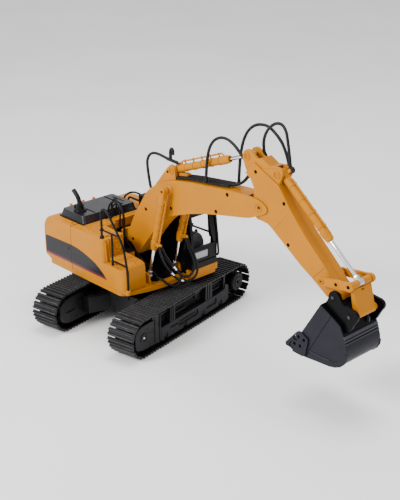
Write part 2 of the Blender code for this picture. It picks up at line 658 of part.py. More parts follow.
def build_arms(house, looks):
    yellow, rods = looks["body_yellow"], looks["bright_rod"]
    foot = flat(BOOM_FOOT)
    boom = empty("boom_hinge", Vector(foot) - Vector((0, 0, 60)), house)
    for label, side in (("left", 1), ("right", -1)):
        node(f"boom_{label}", boom_half(side), yellow, boom, foot)
        place = flat(LIFT_TOP, side * LIFT_Y)
        hinge = empty(f"lift_barrel_hinge_{label}", Vector(place) - Vector(foot), boom)
        shape = barrel(LIFT_TOP, LIFT_FOOT, side * LIFT_Y, 90, 5.0, 4.0, 4.2)
        node(f"lift_barrel_{label}", shape, yellow, hinge, place)
        place = flat(LIFT_FOOT, side * LIFT_Y)
        hinge = empty(f"lift_rod_hinge_{label}", Vector(place) - Vector((0, 0, 60)), house)
        shape = rod(LIFT_TOP, LIFT_FOOT, side * LIFT_Y, 94, 2.0, 3.2, 2.35)
        node(f"lift_rod_{label}", shape, rods, hinge, place)
    place = flat(STICK_TAIL)
    hinge = empty("stick_barrel_hinge", Vector(place) - Vector(foot), boom)
    node("stick_barrel", barrel(STICK_TAIL, STICK_EYE, 0, 104, 4.7, 3.75, 4.6), yellow, hinge, place)
    tip = flat(BOOM_TIP)
    arm = empty("stick_hinge", Vector(tip) - Vector(foot), boom)
    for label, side in (("left", 1), ("right", -1)):
        node(f"arm_{label}", arm_half(side), yellow, arm, tip)
    pin = combined(disc("y", BOOM_TIP, 3.0, -14.2, 14.2, 0, 20),
                   [disc("y", BOOM_TIP, 4.8, -15.2, -13.3, 0, 20),
                                                                  disc("y", BOOM_TIP, 4.8, 13.3, 15.2, 0,
                                                                       20)])
    node("boom_tip_pin", pin, looks["steel"], boom, foot)
    place = flat(STICK_EYE)
    hinge = empty("stick_rod_hinge", Vector(place) - Vector(tip), arm)
    node("stick_rod", rod(STICK_TAIL, STICK_EYE, 0, 121, 1.9, 4.5, 2.35), rods, hinge, place)
    place = flat(CURL_TAIL)
    hinge = empty("curl_barrel_hinge", Vector(place) - Vector(tip), arm)
    node("curl_barrel", barrel(CURL_TAIL, LEVER_END, 0, 98, 4.8, 3.75, 4.6), yellow, hinge, place)
    pivot = flat(LEVER_PIVOT)
    swing = empty("lever_hinge", Vector(pivot) - Vector(tip), arm)
    node("lever", lever(), yellow, swing, pivot)
    place = flat(LEVER_END)
    hinge = empty("curl_rod_hinge", Vector(place) - Vector(pivot), swing)
    node("curl_rod", rod(CURL_TAIL, LEVER_END, 0, 128, 1.9, 4.5, 2.6), rods, hinge, place)
    hinge = empty("link_hinge", Vector(place) - Vector(pivot), swing)
    node("link", link(), yellow, hinge, place)
    pivot = flat(BUCKET_PIVOT)
    hinge = empty("bucket_hinge", Vector(pivot) - Vector(tip), arm)
    node("bucket", bucket(), looks["bucket_grey"], hinge, pivot)
    node("cutting_edge", cutting_edge(), looks["bucket_grey"], hinge, pivot)
    return boom, arm


BOOM_HOSES = {
    "hose_arch": [(27, -10.2, 193.5), (24, -9.5, 208), (18.5, -7, 224), (18.5, -5, 235), (24, -3, 241),
                  (34, -2, 242),
                  (48, -1, 240.5), (58, -0.5, 237)],
    "hose_boom_left": [(84, 6, 220.5), (108, 6, 223.4), (144, 6, 226.6), (170, 6, 229.4), (190, 6, 229.5),
                       (203, 6, 230.5)],
    "hose_boom_right": [(84, -6, 220.5), (108, -6, 223.4), (144, -6, 226.6), (170, -6, 229.4),
                        (190, -6, 229.5),
                        (203, -6, 230.5)],
    "hose_stick_right": [(133, -9.5, 226), (134, -9.5, 250), (137, -9, 270), (146, -8.5, 283),
                         (158, -8, 289),
                         (170, -7.5, 288), (181, -7, 283), (190, -7, 277)],
    "hose_stick_left": [(171, 9.5, 230), (172, 9.5, 252), (174, 9.3, 269), (178, 9, 285), (185, 8.5, 298),
                        (196, 8, 307), (208, 8, 312), (220, 8, 312), (231, 8, 306), (239, 8, 296),
                        (245, 8, 286),
                        (248, 8, 276.5)],
}
ARM_HOSE = [(217, -8, 275.5), (219, -8, 290), (226, -8, 308), (236, -8, 320), (246, -8, 324),
            (255, -8, 319),
            (260, -8, 305), (262, -8, 292), (266, -6, 281)]
LIFT_HOSE = [(60, -30, 124), (57, -30, 104), (56, -29, 88), (57.5, -24, 76), (59.5, -14, 69.5),
             (60, 0, 67.5),
             (59, 10, 68.5), (56.5, 18, 72), (53, 22, 78)]


def hose(name, points, look, parent, origin, radius=HOSE_R):
    """A flexible hose along a smooth route."""
    data = bpy.data.curves.new(name, "CURVE")
    data.dimensions = "3D"
    data.bevel_depth = radius * MM
    data.bevel_resolution = 2
    data.use_fill_caps = True
    path = smooth_path(points, 3)
    spline = data.splines.new("POLY")
    spline.points.add(len(path) - 1)
    for target, point in zip(spline.points, path):
        target.co = (*((point - Vector(origin)) * MM), 1.0)
    data.materials.append(look)
    made = bpy.data.objects.new(name, data)
    made.parent = parent
    bpy.context.scene.collection.objects.link(made)
    return made


def build_hoses(house, boom, arm, looks):
    for name, route in BOOM_HOSES.items():
        hose(name, route, looks["hose_black"], boom, flat(BOOM_FOOT))
    hose("hose_curl", ARM_HOSE, looks["hose_black"], arm, flat(BOOM_TIP))
    hose("hose_lift", LIFT_HOSE, looks["hose_black"], house, (0, 0, 60))


def stand_on_origin(root):
    """Moves the whole model so that its box stands centred on the world's origin."""
    bpy.context.view_layer.update()
    corners = []
    for obj in bpy.context.scene.objects:
        if obj.type in ("MESH", "CURVE"):
            corners += [obj.matrix_world @ Vector(c) for c in obj.bound_box]
    low = Vector([min(c[i] for c in corners) for i in range(3)])
    high = Vector([max(c[i] for c in corners) for i in range(3)])
    root.location = (-(low.x + high.x) / 2, -(low.y + high.y) / 2, -low.z)


def main():
    clear_scene()
    looks = make_materials()
    root = empty("excavator", (0, 0, 0))
    build_undercarriage(root, looks)
    house = build_house(root, looks)
    boom, arm = build_arms(house, looks)
    build_hoses(house, boom, arm, looks)
    stand_on_origin(root)


main()
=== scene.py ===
"""The looks of the RC excavator. Shapes are given in millimetres in the house's own frame:
X along the boom, Y towards the cab, Z up, from the slew axis on the floor."""

import json
import math

import bmesh
import bpy
from mathutils import Matrix, Vector


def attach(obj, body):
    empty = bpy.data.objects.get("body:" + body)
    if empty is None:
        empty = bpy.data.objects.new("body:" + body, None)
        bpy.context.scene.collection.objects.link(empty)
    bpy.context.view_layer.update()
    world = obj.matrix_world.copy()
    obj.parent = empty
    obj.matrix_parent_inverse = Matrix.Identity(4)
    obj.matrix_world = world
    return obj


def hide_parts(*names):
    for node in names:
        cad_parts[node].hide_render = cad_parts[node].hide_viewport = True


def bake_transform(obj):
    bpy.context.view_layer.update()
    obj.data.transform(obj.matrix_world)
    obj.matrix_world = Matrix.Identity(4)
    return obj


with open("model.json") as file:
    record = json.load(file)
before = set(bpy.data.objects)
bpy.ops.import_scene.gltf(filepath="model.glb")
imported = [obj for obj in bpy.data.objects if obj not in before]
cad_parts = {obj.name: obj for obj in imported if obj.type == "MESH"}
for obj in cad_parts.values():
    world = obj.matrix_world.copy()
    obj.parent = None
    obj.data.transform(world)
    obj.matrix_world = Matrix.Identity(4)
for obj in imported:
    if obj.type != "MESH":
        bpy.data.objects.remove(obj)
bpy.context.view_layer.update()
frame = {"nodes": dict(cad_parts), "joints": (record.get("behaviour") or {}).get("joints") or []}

MM = 0.001
JOINTS = {joint["name"]: joint for joint in frame["joints"]}
GROUND = Vector((*JOINTS["slew"]["pos_m"][:2], 0.0))
TRACK_AXIS = JOINTS["sprocket_spin_left"]["axis"]
TRACK_TURN = math.atan2(TRACK_AXIS[1], TRACK_AXIS[0])
HOUSE = Matrix.Translation(GROUND) @ Matrix.Scale(MM, 4)
TRACKS = Matrix.Translation(GROUND) @ Matrix.Rotation(TRACK_TURN, 4, "Z") @ Matrix.Scale(MM, 4)


def pivot(joint):
    """Where a joint's axis crosses the plane of the boom, as (x, z) in millimetres."""
    place = (Vector(JOINTS[joint]["pos_m"]) - GROUND) / MM
    return (place.x, place.z)


BOOM_FOOT = pivot("boom_hinge")
BOOM_TIP = pivot("stick_hinge")
LIFT_TOP = pivot("lift_barrel_hinge_right")
LIFT_FOOT = pivot("lift_rod_hinge_right")
STICK_TAIL = pivot("stick_barrel_hinge")
STICK_EYE = pivot("stick_rod_hinge")
CURL_TAIL = pivot("curl_barrel_hinge")
LEVER_PIVOT = pivot("lever_hinge")
LEVER_END = pivot("link_hinge")
BUCKET_PIVOT = pivot("bucket_hinge")
LINK_END = (LEVER_END[0] + 7.0, LEVER_END[1] - 32.7)
LIFT_Y = 23.0
BOOM_HALF = 13.0
ARM_HALF = 11.0
LEVER_FACE = 21.0
FLANK_Y = 75.0
SPLIT = 0.12
BORE_REACH = 40


# ---------------------------------------------------------------- materials


def new_material(name):
    made = bpy.data.materials.new(name)
    made.use_nodes = True
    return made, made.node_tree, made.node_tree.nodes["Principled BSDF"]


def noise_node(tree, scale, detail=2.0, stretch=None):
    """Noise over the piece's own coordinates; scale counts features per metre."""
    coords = tree.nodes.new("ShaderNodeTexCoord")
    source = coords.outputs["Object"]
    if stretch:
        mapping = tree.nodes.new("ShaderNodeMapping")
        mapping.inputs["Scale"].default_value = stretch
        tree.links.new(source, mapping.inputs["Vector"])
        source = mapping.outputs["Vector"]
    made = tree.nodes.new("ShaderNodeTexNoise")
    made.inputs["Scale"].default_value = scale
    made.inputs["Detail"].default_value = detail
    tree.links.new(source, made.inputs["Vector"])
    return made.outputs["Fac"]


def ramp(tree, source, low, high, start=0.35, end=0.65):
    """A colour that runs from low to high as the source goes from start to end."""
    made = tree.nodes.new("ShaderNodeValToRGB")
    made.color_ramp.elements[0].position = start
    made.color_ramp.elements[0].color = (*low, 1.0)
    made.color_ramp.elements[1].position = end
    made.color_ramp.elements[1].color = (*high, 1.0)
    tree.links.new(source, made.inputs["Fac"])
    return made.outputs["Color"]


def spread(tree, source, low, high):
    """A number from low to high."""
    made = tree.nodes.new("ShaderNodeMapRange")
    made.inputs["From Min"].default_value = 0.3
    made.inputs["From Max"].default_value = 0.7
    made.inputs["To Min"].default_value = low
    made.inputs["To Max"].default_value = high
    tree.links.new(source, made.inputs["Value"])
    return made.outputs["Result"]


def bump(tree, shader, source, distance, strength=1.0):
    made = tree.nodes.new("ShaderNodeBump")
    made.inputs["Strength"].default_value = strength
    made.inputs["Distance"].default_value = distance * MM
    tree.links.new(source, made.inputs["Height"])
    previous = shader.inputs["Normal"].links
    if previous:
        tree.links.new(previous[0].from_socket, made.inputs["Normal"])
    tree.links.new(made.outputs["Normal"], shader.inputs["Normal"])


def shade(colour, factor):
    return tuple(min(1.0, channel * factor) for channel in colour)


def moulded(name, colour, roughness, mottle=0.05, grain=1400.0, depth=0.03, coat=0.0, shine=0.5):
    """Moulded plastic or paint: faint mottling, a fine skin grain and uneven gloss."""
    made, tree, shader = new_material(name)
    cloud = noise_node(tree, 45.0, 3.0)
    tree.links.new(ramp(tree, cloud, shade(colour, 1 - mottle), shade(colour, 1 + mottle)),
        shader.inputs["Base Color"])
    tree.links.new(spread(tree, noise_node(tree, 160.0, 4.0), roughness - 0.05, roughness + 0.06),
        shader.inputs["Roughness"])
    bump(tree, shader, noise_node(tree, grain, 2.0), depth, 0.5)
    shader.inputs["Specular IOR Level"].default_value = shine
    shader.inputs["Coat Weight"].default_value = coat
    shader.inputs["Coat Roughness"].default_value = 0.18
    return made


def dusty(name, colour, dust, roughness, grain=900.0, depth=0.05):
    """Hard-wearing rubbery plastic with a little pale rub on it."""
    made, tree, shader = new_material(name)
    cloud = noise_node(tree, 120.0, 6.0)
    tree.links.new(ramp(tree, cloud, colour, dust, 0.45, 0.8), shader.inputs["Base Color"])
    tree.links.new(spread(tree, noise_node(tree, 260.0, 4.0), roughness - 0.08, roughness + 0.1),
        shader.inputs["Roughness"])
    bump(tree, shader, noise_node(tree, grain, 3.0), depth, 0.6)
    shader.inputs["Specular IOR Level"].default_value = 0.3
    return made


def metal(name, colour, roughness, streak=None):
    made, tree, shader = new_material(name)
    shader.inputs["Metallic"].default_value = 1.0
    cloud = noise_node(tree, 900.0, 3.0, streak)
    tree.links.new(ramp(tree, cloud, shade(colour, 0.9), colour), shader.inputs["Base Color"])
    tree.links.new(spread(tree, cloud, roughness, roughness + 0.1), shader.inputs["Roughness"])
    bump(tree, shader, noise_node(tree, 2600.0, 2.0, streak), 0.008, 0.4)
    return made


def chrome(name):
    """Polished plating with a painted reflection that darkens where its sides turn away, as a rod does in a
    bright room.
    """
    made = metal(name, (0.9, 0.9, 0.92), 0.06)
    tree = made.node_tree
    shader = tree.nodes["Principled BSDF"]
    facing = tree.nodes.new("ShaderNodeLayerWeight")
    facing.inputs["Blend"].default_value = 0.5
    # Painted reflection: bright where the surface faces the view, near black where it turns away.
    bands = ramp(tree, facing.outputs["Facing"], (0.9, 0.9, 0.92), (0.03, 0.03, 0.035), 0.35, 0.62)
    tree.links.new(bands, shader.inputs["Base Color"])
    return made


YELLOW = (0.46, 0.165, 0.0006)


def treaded(name, colour):
    """Painted plastic with a raised anti-slip pattern."""
    made = moulded(name, colour, 0.4, 0.04, 1300.0, 0.02, shine=0.14)
    tree = made.node_tree
    shader = tree.nodes["Principled BSDF"]
    coords = tree.nodes.new("ShaderNodeTexCoord")
    cells = tree.nodes.new("ShaderNodeTexVoronoi")
    cells.inputs["Scale"].default_value = 330.0
    cells.inputs["Randomness"].default_value = 0.5
    tree.links.new(coords.outputs["Object"], cells.inputs["Vector"])
    tree.links.new(ramp(tree, cells.outputs["Distance"], shade(colour, 1.15), shade(colour, 0.6), 0.3,
            0.75), shader.inputs["Base Color"])
    bump(tree, shader, cells.outputs["Distance"], 1.2, 0.9)
    return made


LOOKS = {"body_yellow": moulded("body_yellow", YELLOW, 0.36, 0.035, 1300.0, 0.02, shine=0.14),
    "satin_black": moulded("satin_black", (0.0035, 0.0035, 0.0042), 0.36, 0.2, 1700.0, 0.05, shine=0.14),
    "cab_black": moulded("cab_black", (0.003, 0.003, 0.0036), 0.3, 0.2, 1500.0, 0.03, shine=0.14),
    "track_black": dusty("track_black", (0.003, 0.003, 0.0036), (0.008, 0.008, 0.0095), 0.42),
    "frame_grey": moulded("frame_grey", (0.006, 0.006, 0.008), 0.4, 0.12, 1500.0, 0.05, shine=0.16),
    "bucket_grey": moulded("bucket_grey", (0.0105, 0.0105, 0.0165), 0.38, 0.1, 1200.0, 0.04, shine=0.14),
    # bright_rod carries the painted reflection made in chrome().
    "bright_rod": chrome("bright_rod"), "steel": metal("steel", (0.62, 0.62, 0.64), 0.26, (1.0, 1.0, 1.0)),
    # Dark steel: the own colour of the pin stubs, and painted shade for the screws down their holes.
    "dark_steel_and_hole_shade": metal("dark_steel_and_hole_shade", (0.012, 0.009, 0.008), 0.5, (1.0, 1.0, 1.0)),
    "gloss_black": moulded("gloss_black", (0.002, 0.002, 0.0026), 0.3, 0.1, 1500.0, 0.01, shine=0.08),
    # A lighter grey: the own colour of the bucket's bolts and gussets, and painted highlights on the
    # bucket's rim and back ridges.
    "edge_grey": moulded("edge_grey", (0.03, 0.03, 0.042), 0.36, 0.1, 1200.0, 0.02, shine=0.3),
    # A lighter black for the track's grouser tips: a painted highlight, with a little pale rub.
    "ridge_highlight_black": dusty("ridge_highlight_black", (0.03, 0.03, 0.034), (0.07, 0.07, 0.075), 0.5),
    "hose_black": moulded("hose_black", (0.006, 0.006, 0.0075), 0.45, 0.3, 2500.0, 0.08, shine=0.2),
    "tread_yellow": treaded("tread_yellow", YELLOW),
    "hood_black": moulded("hood_black", (0.007, 0.007, 0.0105), 0.25, 0.1, 1500.0, 0.01, shine=0.4),
    "decal_grey": moulded("decal_grey", (0.0095, 0.009, 0.013), 0.32, 0.08, 1500.0, 0.01, shine=0.2),
    "decal_red": moulded("decal_red", (0.12, 0.012, 0.026), 0.35, 0.08, 1500.0, 0.01, shine=0.3),
    "pane": moulded("pane", (0.3, 0.3, 0.33), 0.12, 0.04, 1500.0, 0.005, coat=0.4),
    "seat_grey": dusty("seat_grey", (0.05, 0.05, 0.056), (0.08, 0.08, 0.086), 0.6, 1300.0, 0.1),
    "board_green": moulded("board_green", (0.01, 0.05, 0.02), 0.4, 0.3, 600.0, 0.05, shine=0.3),}


# ---------------------------------------------------------------- shapes


def lifted(axis, across, along):
    a, b = across
    return {"x": (along, a, b), "y": (a, along, b), "z": (a, b, along)}[axis]


def facing_out(bm):
    bmesh.ops.recalc_face_normals(bm, faces=bm.faces)
    if bm.calc_volume(signed=True) < 0:
        bmesh.ops.reverse_faces(bm, faces=bm.faces)
    return bm


def prism(outline, axis, low, high):
    bm = bmesh.new()
    lower = [bm.verts.new(lifted(axis, p, low)) for p in outline]
    upper = [bm.verts.new(lifted(axis, p, high)) for p in outline]
    bm.faces.new(lower)
    bm.faces.new(upper)
    for i in range(len(outline)):
        j = (i + 1) % len(outline)
        bm.faces.new((lower[i], lower[j], upper[j], upper[i]))
    return facing_out(bm)


def box(x0, x1, y0, y1, z0, z1):
    return prism([(x0, y0), (x1, y0), (x1, y1), (x0, y1)], "z", z0, z1)


def rounded(outline, radius, steps=5):
    """The outline with its corners turned into arcs; a radius may be one number or one for each corner."""
    points = []
    count = len(outline)
    radii = [radius] * count if isinstance(radius, (int, float)) else radius
    for i, corner in enumerate(outline):
        here = Vector(corner)
        before = Vector(outline[i - 1]) - here
        after = Vector(outline[(i + 1) % count]) - here
        reach = min(radii[i], before.length * 0.49, after.length * 0.49)
        if reach < 0.05:
            points.append(corner)
            continue
        start = here + before.normalized() * reach
        end = here + after.normalized() * reach
        for step in range(steps + 1):
            t = step / steps
            points.append(tuple(start * (1 - t) ** 2 + here * 2 * t * (1 - t) + end * t**2))
    return points


def ring_points(centre, radius, count=36):
    cx, cy = centre
    turn = 2 * math.pi / count
    return [(cx + radius * math.cos(turn * i), cy + radius * math.sin(turn * i)) for i in range(count)]


def disc(axis, centre, radius, low, high, count=36):
    return prism(ring_points(centre, radius, count), axis, *sorted((low, high)))


def through(centre, radius, count):
    """A cutter that passes right through the boom, arm or lever."""
    return disc("y", centre, radius, -BORE_REACH, BORE_REACH, count)


def turned(axis, centre, profile, count=40):
    """A solid of revolution from (radius, along) pairs that start and end on the axis."""
    bm = bmesh.new()
    loops = []
    for radius, along in profile:
        if radius == 0:
            loops.append([bm.verts.new(lifted(axis, centre, along))])
        else:
            loops.append([bm.verts.new(lifted(axis, p, along)) for p in ring_points(centre, radius, count)])
    for first, second in zip(loops, loops[1:]):
        for i in range(count):
            j = (i + 1) % count
            corners = [first[i % len(first)], first[j % len(first)], second[j % len(second)],
                second[i % len(second)]]
            bm.faces.new(list(dict.fromkeys(corners)))
    return facing_out(bm)


def round_bar(axis, centre, radius, low, high, count=40):
    """A plain round bar along one axis."""
    return turned(axis, centre, [(0, low), (radius, low), (radius, high), (0, high)], count)


def swept(path, radii, count=14, relief=None):
    """A round bar along the points. relief(turn, run) may add to its radius."""
    points = [Vector(p) for p in path]
    if isinstance(radii, (int, float)):
        radii = [radii] * len(points)
    bm = bmesh.new()
    side = None
    loops = []
    run = 0.0
    for i, point in enumerate(points):
        ahead = points[min(i + 1, len(points) - 1)] - points[max(i - 1, 0)]
        ahead.normalize()
        run += (point - points[max(i - 1, 0)]).length
        side = ahead.orthogonal() if side is None else side - ahead * side.dot(ahead)
        side.normalize()
        other = ahead.cross(side)
        loop = []
        for k in range(count):
            angle = 2 * math.pi * k / count
            radius = radii[i] + (relief(angle, run) if relief else 0.0)
            loop.append(bm.verts.new(point + (side * math.cos(angle) + other * math.sin(angle)) * radius))
        loops.append(loop)
    bm.faces.new(loops[0])
    bm.faces.new(loops[-1])
    for first, second in zip(loops, loops[1:]):
        for k in range(count):
            j = (k + 1) % count
            bm.faces.new((first[k], first[j], second[j], second[k]))
    return facing_out(bm)


def smooth_path(points, steps=6):
    """A Catmull-Rom curve through the points."""
    knots = [Vector(p) for p in points]
    knots = [knots[0] * 2 - knots[1], *knots, knots[-1] * 2 - knots[-2]]
    path = []
    for a, b, c, d in zip(knots, knots[1:], knots[2:], knots[3:]):
        for step in range(steps):
            t = step / steps
            path.append((b * 2 + (c - a) * t + (a * 2 - b * 5 + c * 4 - d) * t**2
                         + (b * 3 - a - c * 3 + d) * t**3) / 2)
    path.append(knots[-2])
    return path


def evenly(path, spacing):
    """The same route with its points a set distance apart."""
    made = [path[0].copy()]
    left = spacing
    for a, b in zip(path, path[1:]):
        length = (b - a).length
        done = 0.0
        while length - done >= left:
            done += left
            made.append(a.lerp(b, done / length))
            left = spacing
        left -= length - done
    return made


def moved(bm, matrix):
    bmesh.ops.transform(bm, matrix=matrix, verts=bm.verts)
    return bm


def together(shapes):
    """Several shapes in one mesh, left as separate shells."""
    bm = bmesh.new()
    for shape in shapes:
        mesh = bpy.data.meshes.new("part")
        shape.to_mesh(mesh)
        shape.free()
        bm.from_mesh(mesh)
        bpy.data.meshes.remove(mesh)
    return bm


def temporary(bm):
    mesh = bpy.data.meshes.new("shape")
    bm.to_mesh(mesh)
    bm.free()
    made = bpy.data.objects.new("shape", mesh)
    bpy.context.scene.collection.objects.link(made)
    return made


def combined(base, joins=(), cuts=()):
    """One bmesh from a base, with solids joined on and then others cut away."""
    body = temporary(base)
    helpers = [(temporary(bm), "UNION") for bm in joins] + [(temporary(bm), "DIFFERENCE") for bm in cuts]
    for helper, operation in helpers:
        modifier = body.modifiers.new(operation, "BOOLEAN")
        modifier.operation = operation
        modifier.solver = "EXACT"
        modifier.object = helper
    bpy.context.view_layer.update()
    graph = bpy.context.evaluated_depsgraph_get()
    result = bpy.data.meshes.new_from_object(body.evaluated_get(graph))
    bm = bmesh.new()
    bm.from_mesh(result)
    bmesh.ops.remove_doubles(bm, verts=bm.verts, dist=1e-4)
    bmesh.ops.dissolve_degenerate(bm, edges=bm.edges, dist=1e-4)
    bpy.data.meshes.remove(result)
    for obj in [body, *[helper for helper, _ in helpers]]:
        bpy.data.objects.remove(obj, do_unlink=True)
    return bm


def add(name, bm, look, body, bevel=0.4, place=HOUSE, stands_for=(), segments=3):
    """A visible piece with softened edges, riding on a CAD body."""
    mesh = bpy.data.meshes.new(name)
    moved(bm, place).to_mesh(mesh)
    bm.free()
    mesh.materials.append(LOOKS[look])
    mesh.shade_smooth()
    piece = bpy.data.objects.new(name, mesh)
    bpy.context.scene.collection.objects.link(piece)
    if bevel:
        modifier = piece.modifiers.new("soft_edges", "BEVEL")
        modifier.width = bevel * MM
        modifier.segments = segments
        modifier.limit_method = "ANGLE"
        modifier.angle_limit = math.radians(32)
        modifier.harden_normals = True
    else:
        mesh.set_sharp_from_angle(angle=math.radians(38))
    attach(piece, body)
    if stands_for:
        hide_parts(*stands_for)
    return piece


def both(side, low, high):
    return sorted((side * low, side * high))


def slab(outline, side, low, high):
    """A plate on one side of the middle, between two distances from it."""
    return prism(outline, "y", *both(side, low, high))


# ---------------------------------------------------------------- stage


CAMERA_AZIMUTH = 46.516
CAMERA_ELEVATION = 22.70
CAMERA_DISTANCE = 1393.06
CAMERA_TARGET = (47.54, 61.27, 90.0)


def build_stage():
    bpy.ops.mesh.primitive_plane_add(size=6.0, location=(0, 0, -0.0002))
    floor = bpy.context.object
    floor.name = "floor"
    look, tree, shader = new_material("floor_paper")
    tree.links.new(ramp(tree, noise_node(tree, 3.0), (0.86, 0.86, 0.86), (0.9, 0.9, 0.9)),
        shader.inputs["Base Color"])
    shader.inputs["Roughness"].default_value = 0.75
    floor.data.materials.append(look)
    world = bpy.data.worlds.new("studio")
    bpy.context.scene.world = world
    world.use_nodes = True
    background = world.node_tree.nodes["Background"]
    background.inputs["Color"].default_value = (1.0, 1.0, 1.0, 1.0)
    background.inputs["Strength"].default_value = 1.0

    def soft_light(name, place, size, power, target=(0.1, 0.0, 0.12)):
        data = bpy.data.lights.new(name, "AREA")
        data.shape = "DISK"
        data.size = size
        data.energy = power
        lamp = bpy.data.objects.new(name, data)
        lamp.location = place
        ahead = Vector(target) - Vector(place)
        lamp.rotation_mode = "QUATERNION"
        lamp.rotation_quaternion = ahead.to_track_quat("-Z", "Y")
        bpy.context.scene.collection.objects.link(lamp)

    soft_light("key", (-0.35, -1.5, 1.1), 0.6, 36.0)
    soft_light("fill", (1.6, -0.1, 0.9), 0.8, 3.0)
    soft_light("top", (-0.1, 0.3, 1.9), 1.0, 22.0)

    camera = bpy.data.objects.new("camera", bpy.data.cameras.new("camera"))
    camera.data.lens = 72.0
    camera.data.sensor_width = 36.0
    camera.data.clip_start = 0.05
    azimuth, elevation = math.radians(CAMERA_AZIMUTH), math.radians(CAMERA_ELEVATION)
    back = Vector((math.sin(azimuth) * math.cos(elevation), -math.cos(azimuth) * math.cos(elevation),
            math.sin(elevation)))
    target = GROUND + Vector(CAMERA_TARGET) * MM
    camera.location = target + back * CAMERA_DISTANCE * MM
    camera.rotation_mode = "QUATERNION"
    camera.rotation_quaternion = (-back).to_track_quat("-Z", "Y")
    bpy.context.scene.collection.objects.link(camera)
    bpy.context.scene.camera = camera


# ---------------------------------------------------------------- small parts


def pin_face(centre, y, side, radius):
    """A pivot's raised rings and deep dimple on the outer side of a plate."""
    rings = [(0, -1.6), (0.28, -1.6), (0.32, 0.5), (0.48, 0.5), (0.54, -0.7), (0.66, -0.7), (0.72, 1.0),
        (0.94, 1.0), (1.0, 0.6), (1.0, -2.2), (0, -2.2)]
    return turned("y", centre, [(radius * share, y + side * along) for share, along in rings], 32)


def screw_head(centre, y, side, radius):
    """A small cross-head screw seen down its hole."""
    profile = [(0, 0.2), (radius * 0.75, 0.15), (radius, -0.2), (radius, -1.2), (0, -1.2)]
    head = turned("y", centre, [(r, y + side * a) for r, a in profile], 20)
    x, z = centre
    low, high = sorted((y - side * 0.5, y + side * 0.6))
    slots = [box(x - radius * 0.6, x + radius * 0.6, low, high, z - 0.16, z + 0.16),
        box(x - 0.16, x + 0.16, low, high, z - radius * 0.6, z + radius * 0.6)]
    return combined(head, cuts=slots)


def screw_holes(centres, y, side, radius=2.6, depth=3.2):
    return [disc("y", c, radius, y + side * 1.0, y - side * depth, 24) for c in centres]


def screws(name, centres, y, side, body, radius=2.55, depth=0.8):
    """The bottoms of the screw holes, each with its screw, coloured dark as painted shade in the holes."""
    heads = []
    for centre in centres:
        # A dark disc at each hole's bottom: painted shade in the hole.
        heads.append(disc("y", centre, radius, y - side * depth, y - side * (depth + 1), 24))
        heads.append(screw_head(centre, y - side * (depth - 0.1), side, radius * 0.7))
    add(name, together(heads), "dark_steel_and_hole_shade", body, 0)


def axis_frame(tail, eye, y=0.0):
    """A matrix whose X axis runs from the tail pin to the eye pin, in the plane of the boom."""
    ahead = Vector((eye[0] - tail[0], 0, eye[1] - tail[1])).normalized()
    up = Vector((-ahead.z, 0, ahead.x))
    place = Matrix((ahead, Vector((0, 1, 0)), up)).transposed().to_4x4()
    place.translation = Vector((tail[0], y, tail[1]))
    return place


def cylinder_barrel(label, body, tail, eye, y, length, radius, eye_half, node, clamps, gap):
    """The barrel: eye, tube with its end collars, and a side pipe held by thin bands."""
    place = HOUSE @ axis_frame(tail, eye, y)
    r = radius
    tube = turned("x", (0, 0), [(0, 8), (r * 0.75, 8), (r * 0.98, 9.2), (r, 11), (r, length - 14),
            (r + 0.7, length - 13.2), (r + 0.7, length - 7), (r + 0.2, length - 6), (r + 0.2, length - 3.4),
            (r - 0.7, length), (0, length)], 40)
    neck = prism(rounded([(0, -3.4), (9, -3.8), (9, 3.8), (0, 3.4)], 0.5, 2), "y", -eye_half * 0.8,
        eye_half * 0.8)
    eye_ring = turned("y", (0, 0), [(0, -eye_half), (3.9, -eye_half), (4.5, -eye_half + 0.6),
            (4.5, eye_half - 0.6), (3.9, eye_half), (0, eye_half)], 32)
    bores = [disc("x", (0, 0), 2.7, 12, length + 2, 28), disc("x", (0, 0), 3.6, 12, length - 6, 28),
        disc("y", (0, 0), 2.3, -10, 10, 24)]
    add(f"{label}_tube", combined(tube, [neck, eye_ring], bores), "body_yellow", body, 0.25, place, [node],
        2)
    offset = r + gap
    start, end = 13.0, length - 10.0
    pipe = swept(smooth_path([(start - 1, 0, r - 0.9), (start, 0, r + 0.4), (start + 3, 0, offset),
                (start + 10, 0, offset), (end - 10, 0, offset), (end - 3, 0, offset), (end, 0, r + 0.6),
                (end + 1, 0, r - 0.9)], 4), 1.1, 16)
    add(f"{label}_pipe", pipe, "body_yellow", body, 0, place)
    bands = []
    for i in range(clamps):
        x = start + 8 + (end - start - 16) * i / (clamps - 1)
        bands.append(turned("x", (0, 0), [(r - 0.4, x - 0.7), (r + 0.6, x - 0.7), (r + 0.6, x + 0.7),
                    (r - 0.4, x + 0.7), (r - 0.4, x - 0.7)], 32))
        bands.append(box(x - 0.5, x + 0.5, -0.7, 0.7, r - 0.2, offset))
        bands.append(turned("x", (0, offset), [(0, x - 0.8), (1.5, x - 0.8), (1.8, x - 0.5), (1.8, x + 0.5),
                    (1.5, x + 0.8), (0, x + 0.8)], 20))
    add(f"{label}_bands", together(bands), "body_yellow", body, 0, place)


def cylinder_rod(label, body, tail, eye, y, length, radius, eye_half, node):
    """The bright rod and its eye, drawn from the eye's own pin."""
    place = HOUSE @ axis_frame(eye, tail, y)
    bar = turned("x", (0, 0), [(0, 2.5), (radius, 2.5), (radius, length - 0.4), (radius - 0.3, length),
            (0, length)], 32)
    add(f"{label}_bar", bar, "bright_rod", body, 0, place, [node])
    collar = turned("x", (0, 0), [(0, 3), (radius + 0.9, 3), (radius + 1.1, 3.6), (radius + 1.1, 8.4),
            (radius + 0.8, 9), (0, 9)], 6)
    ring = turned("y", (0, 0), [(0, -eye_half), (3.7, -eye_half), (4.2, -eye_half + 0.5),
            (4.2, eye_half - 0.5), (3.7, eye_half), (0, eye_half)], 32)
    add(f"{label}_eye", combined(ring, [collar], [disc("y", (0, 0), 2.3, -10, 10, 24)]), "steel", body, 0.2,
        place)


# ---------------------------------------------------------------- boom


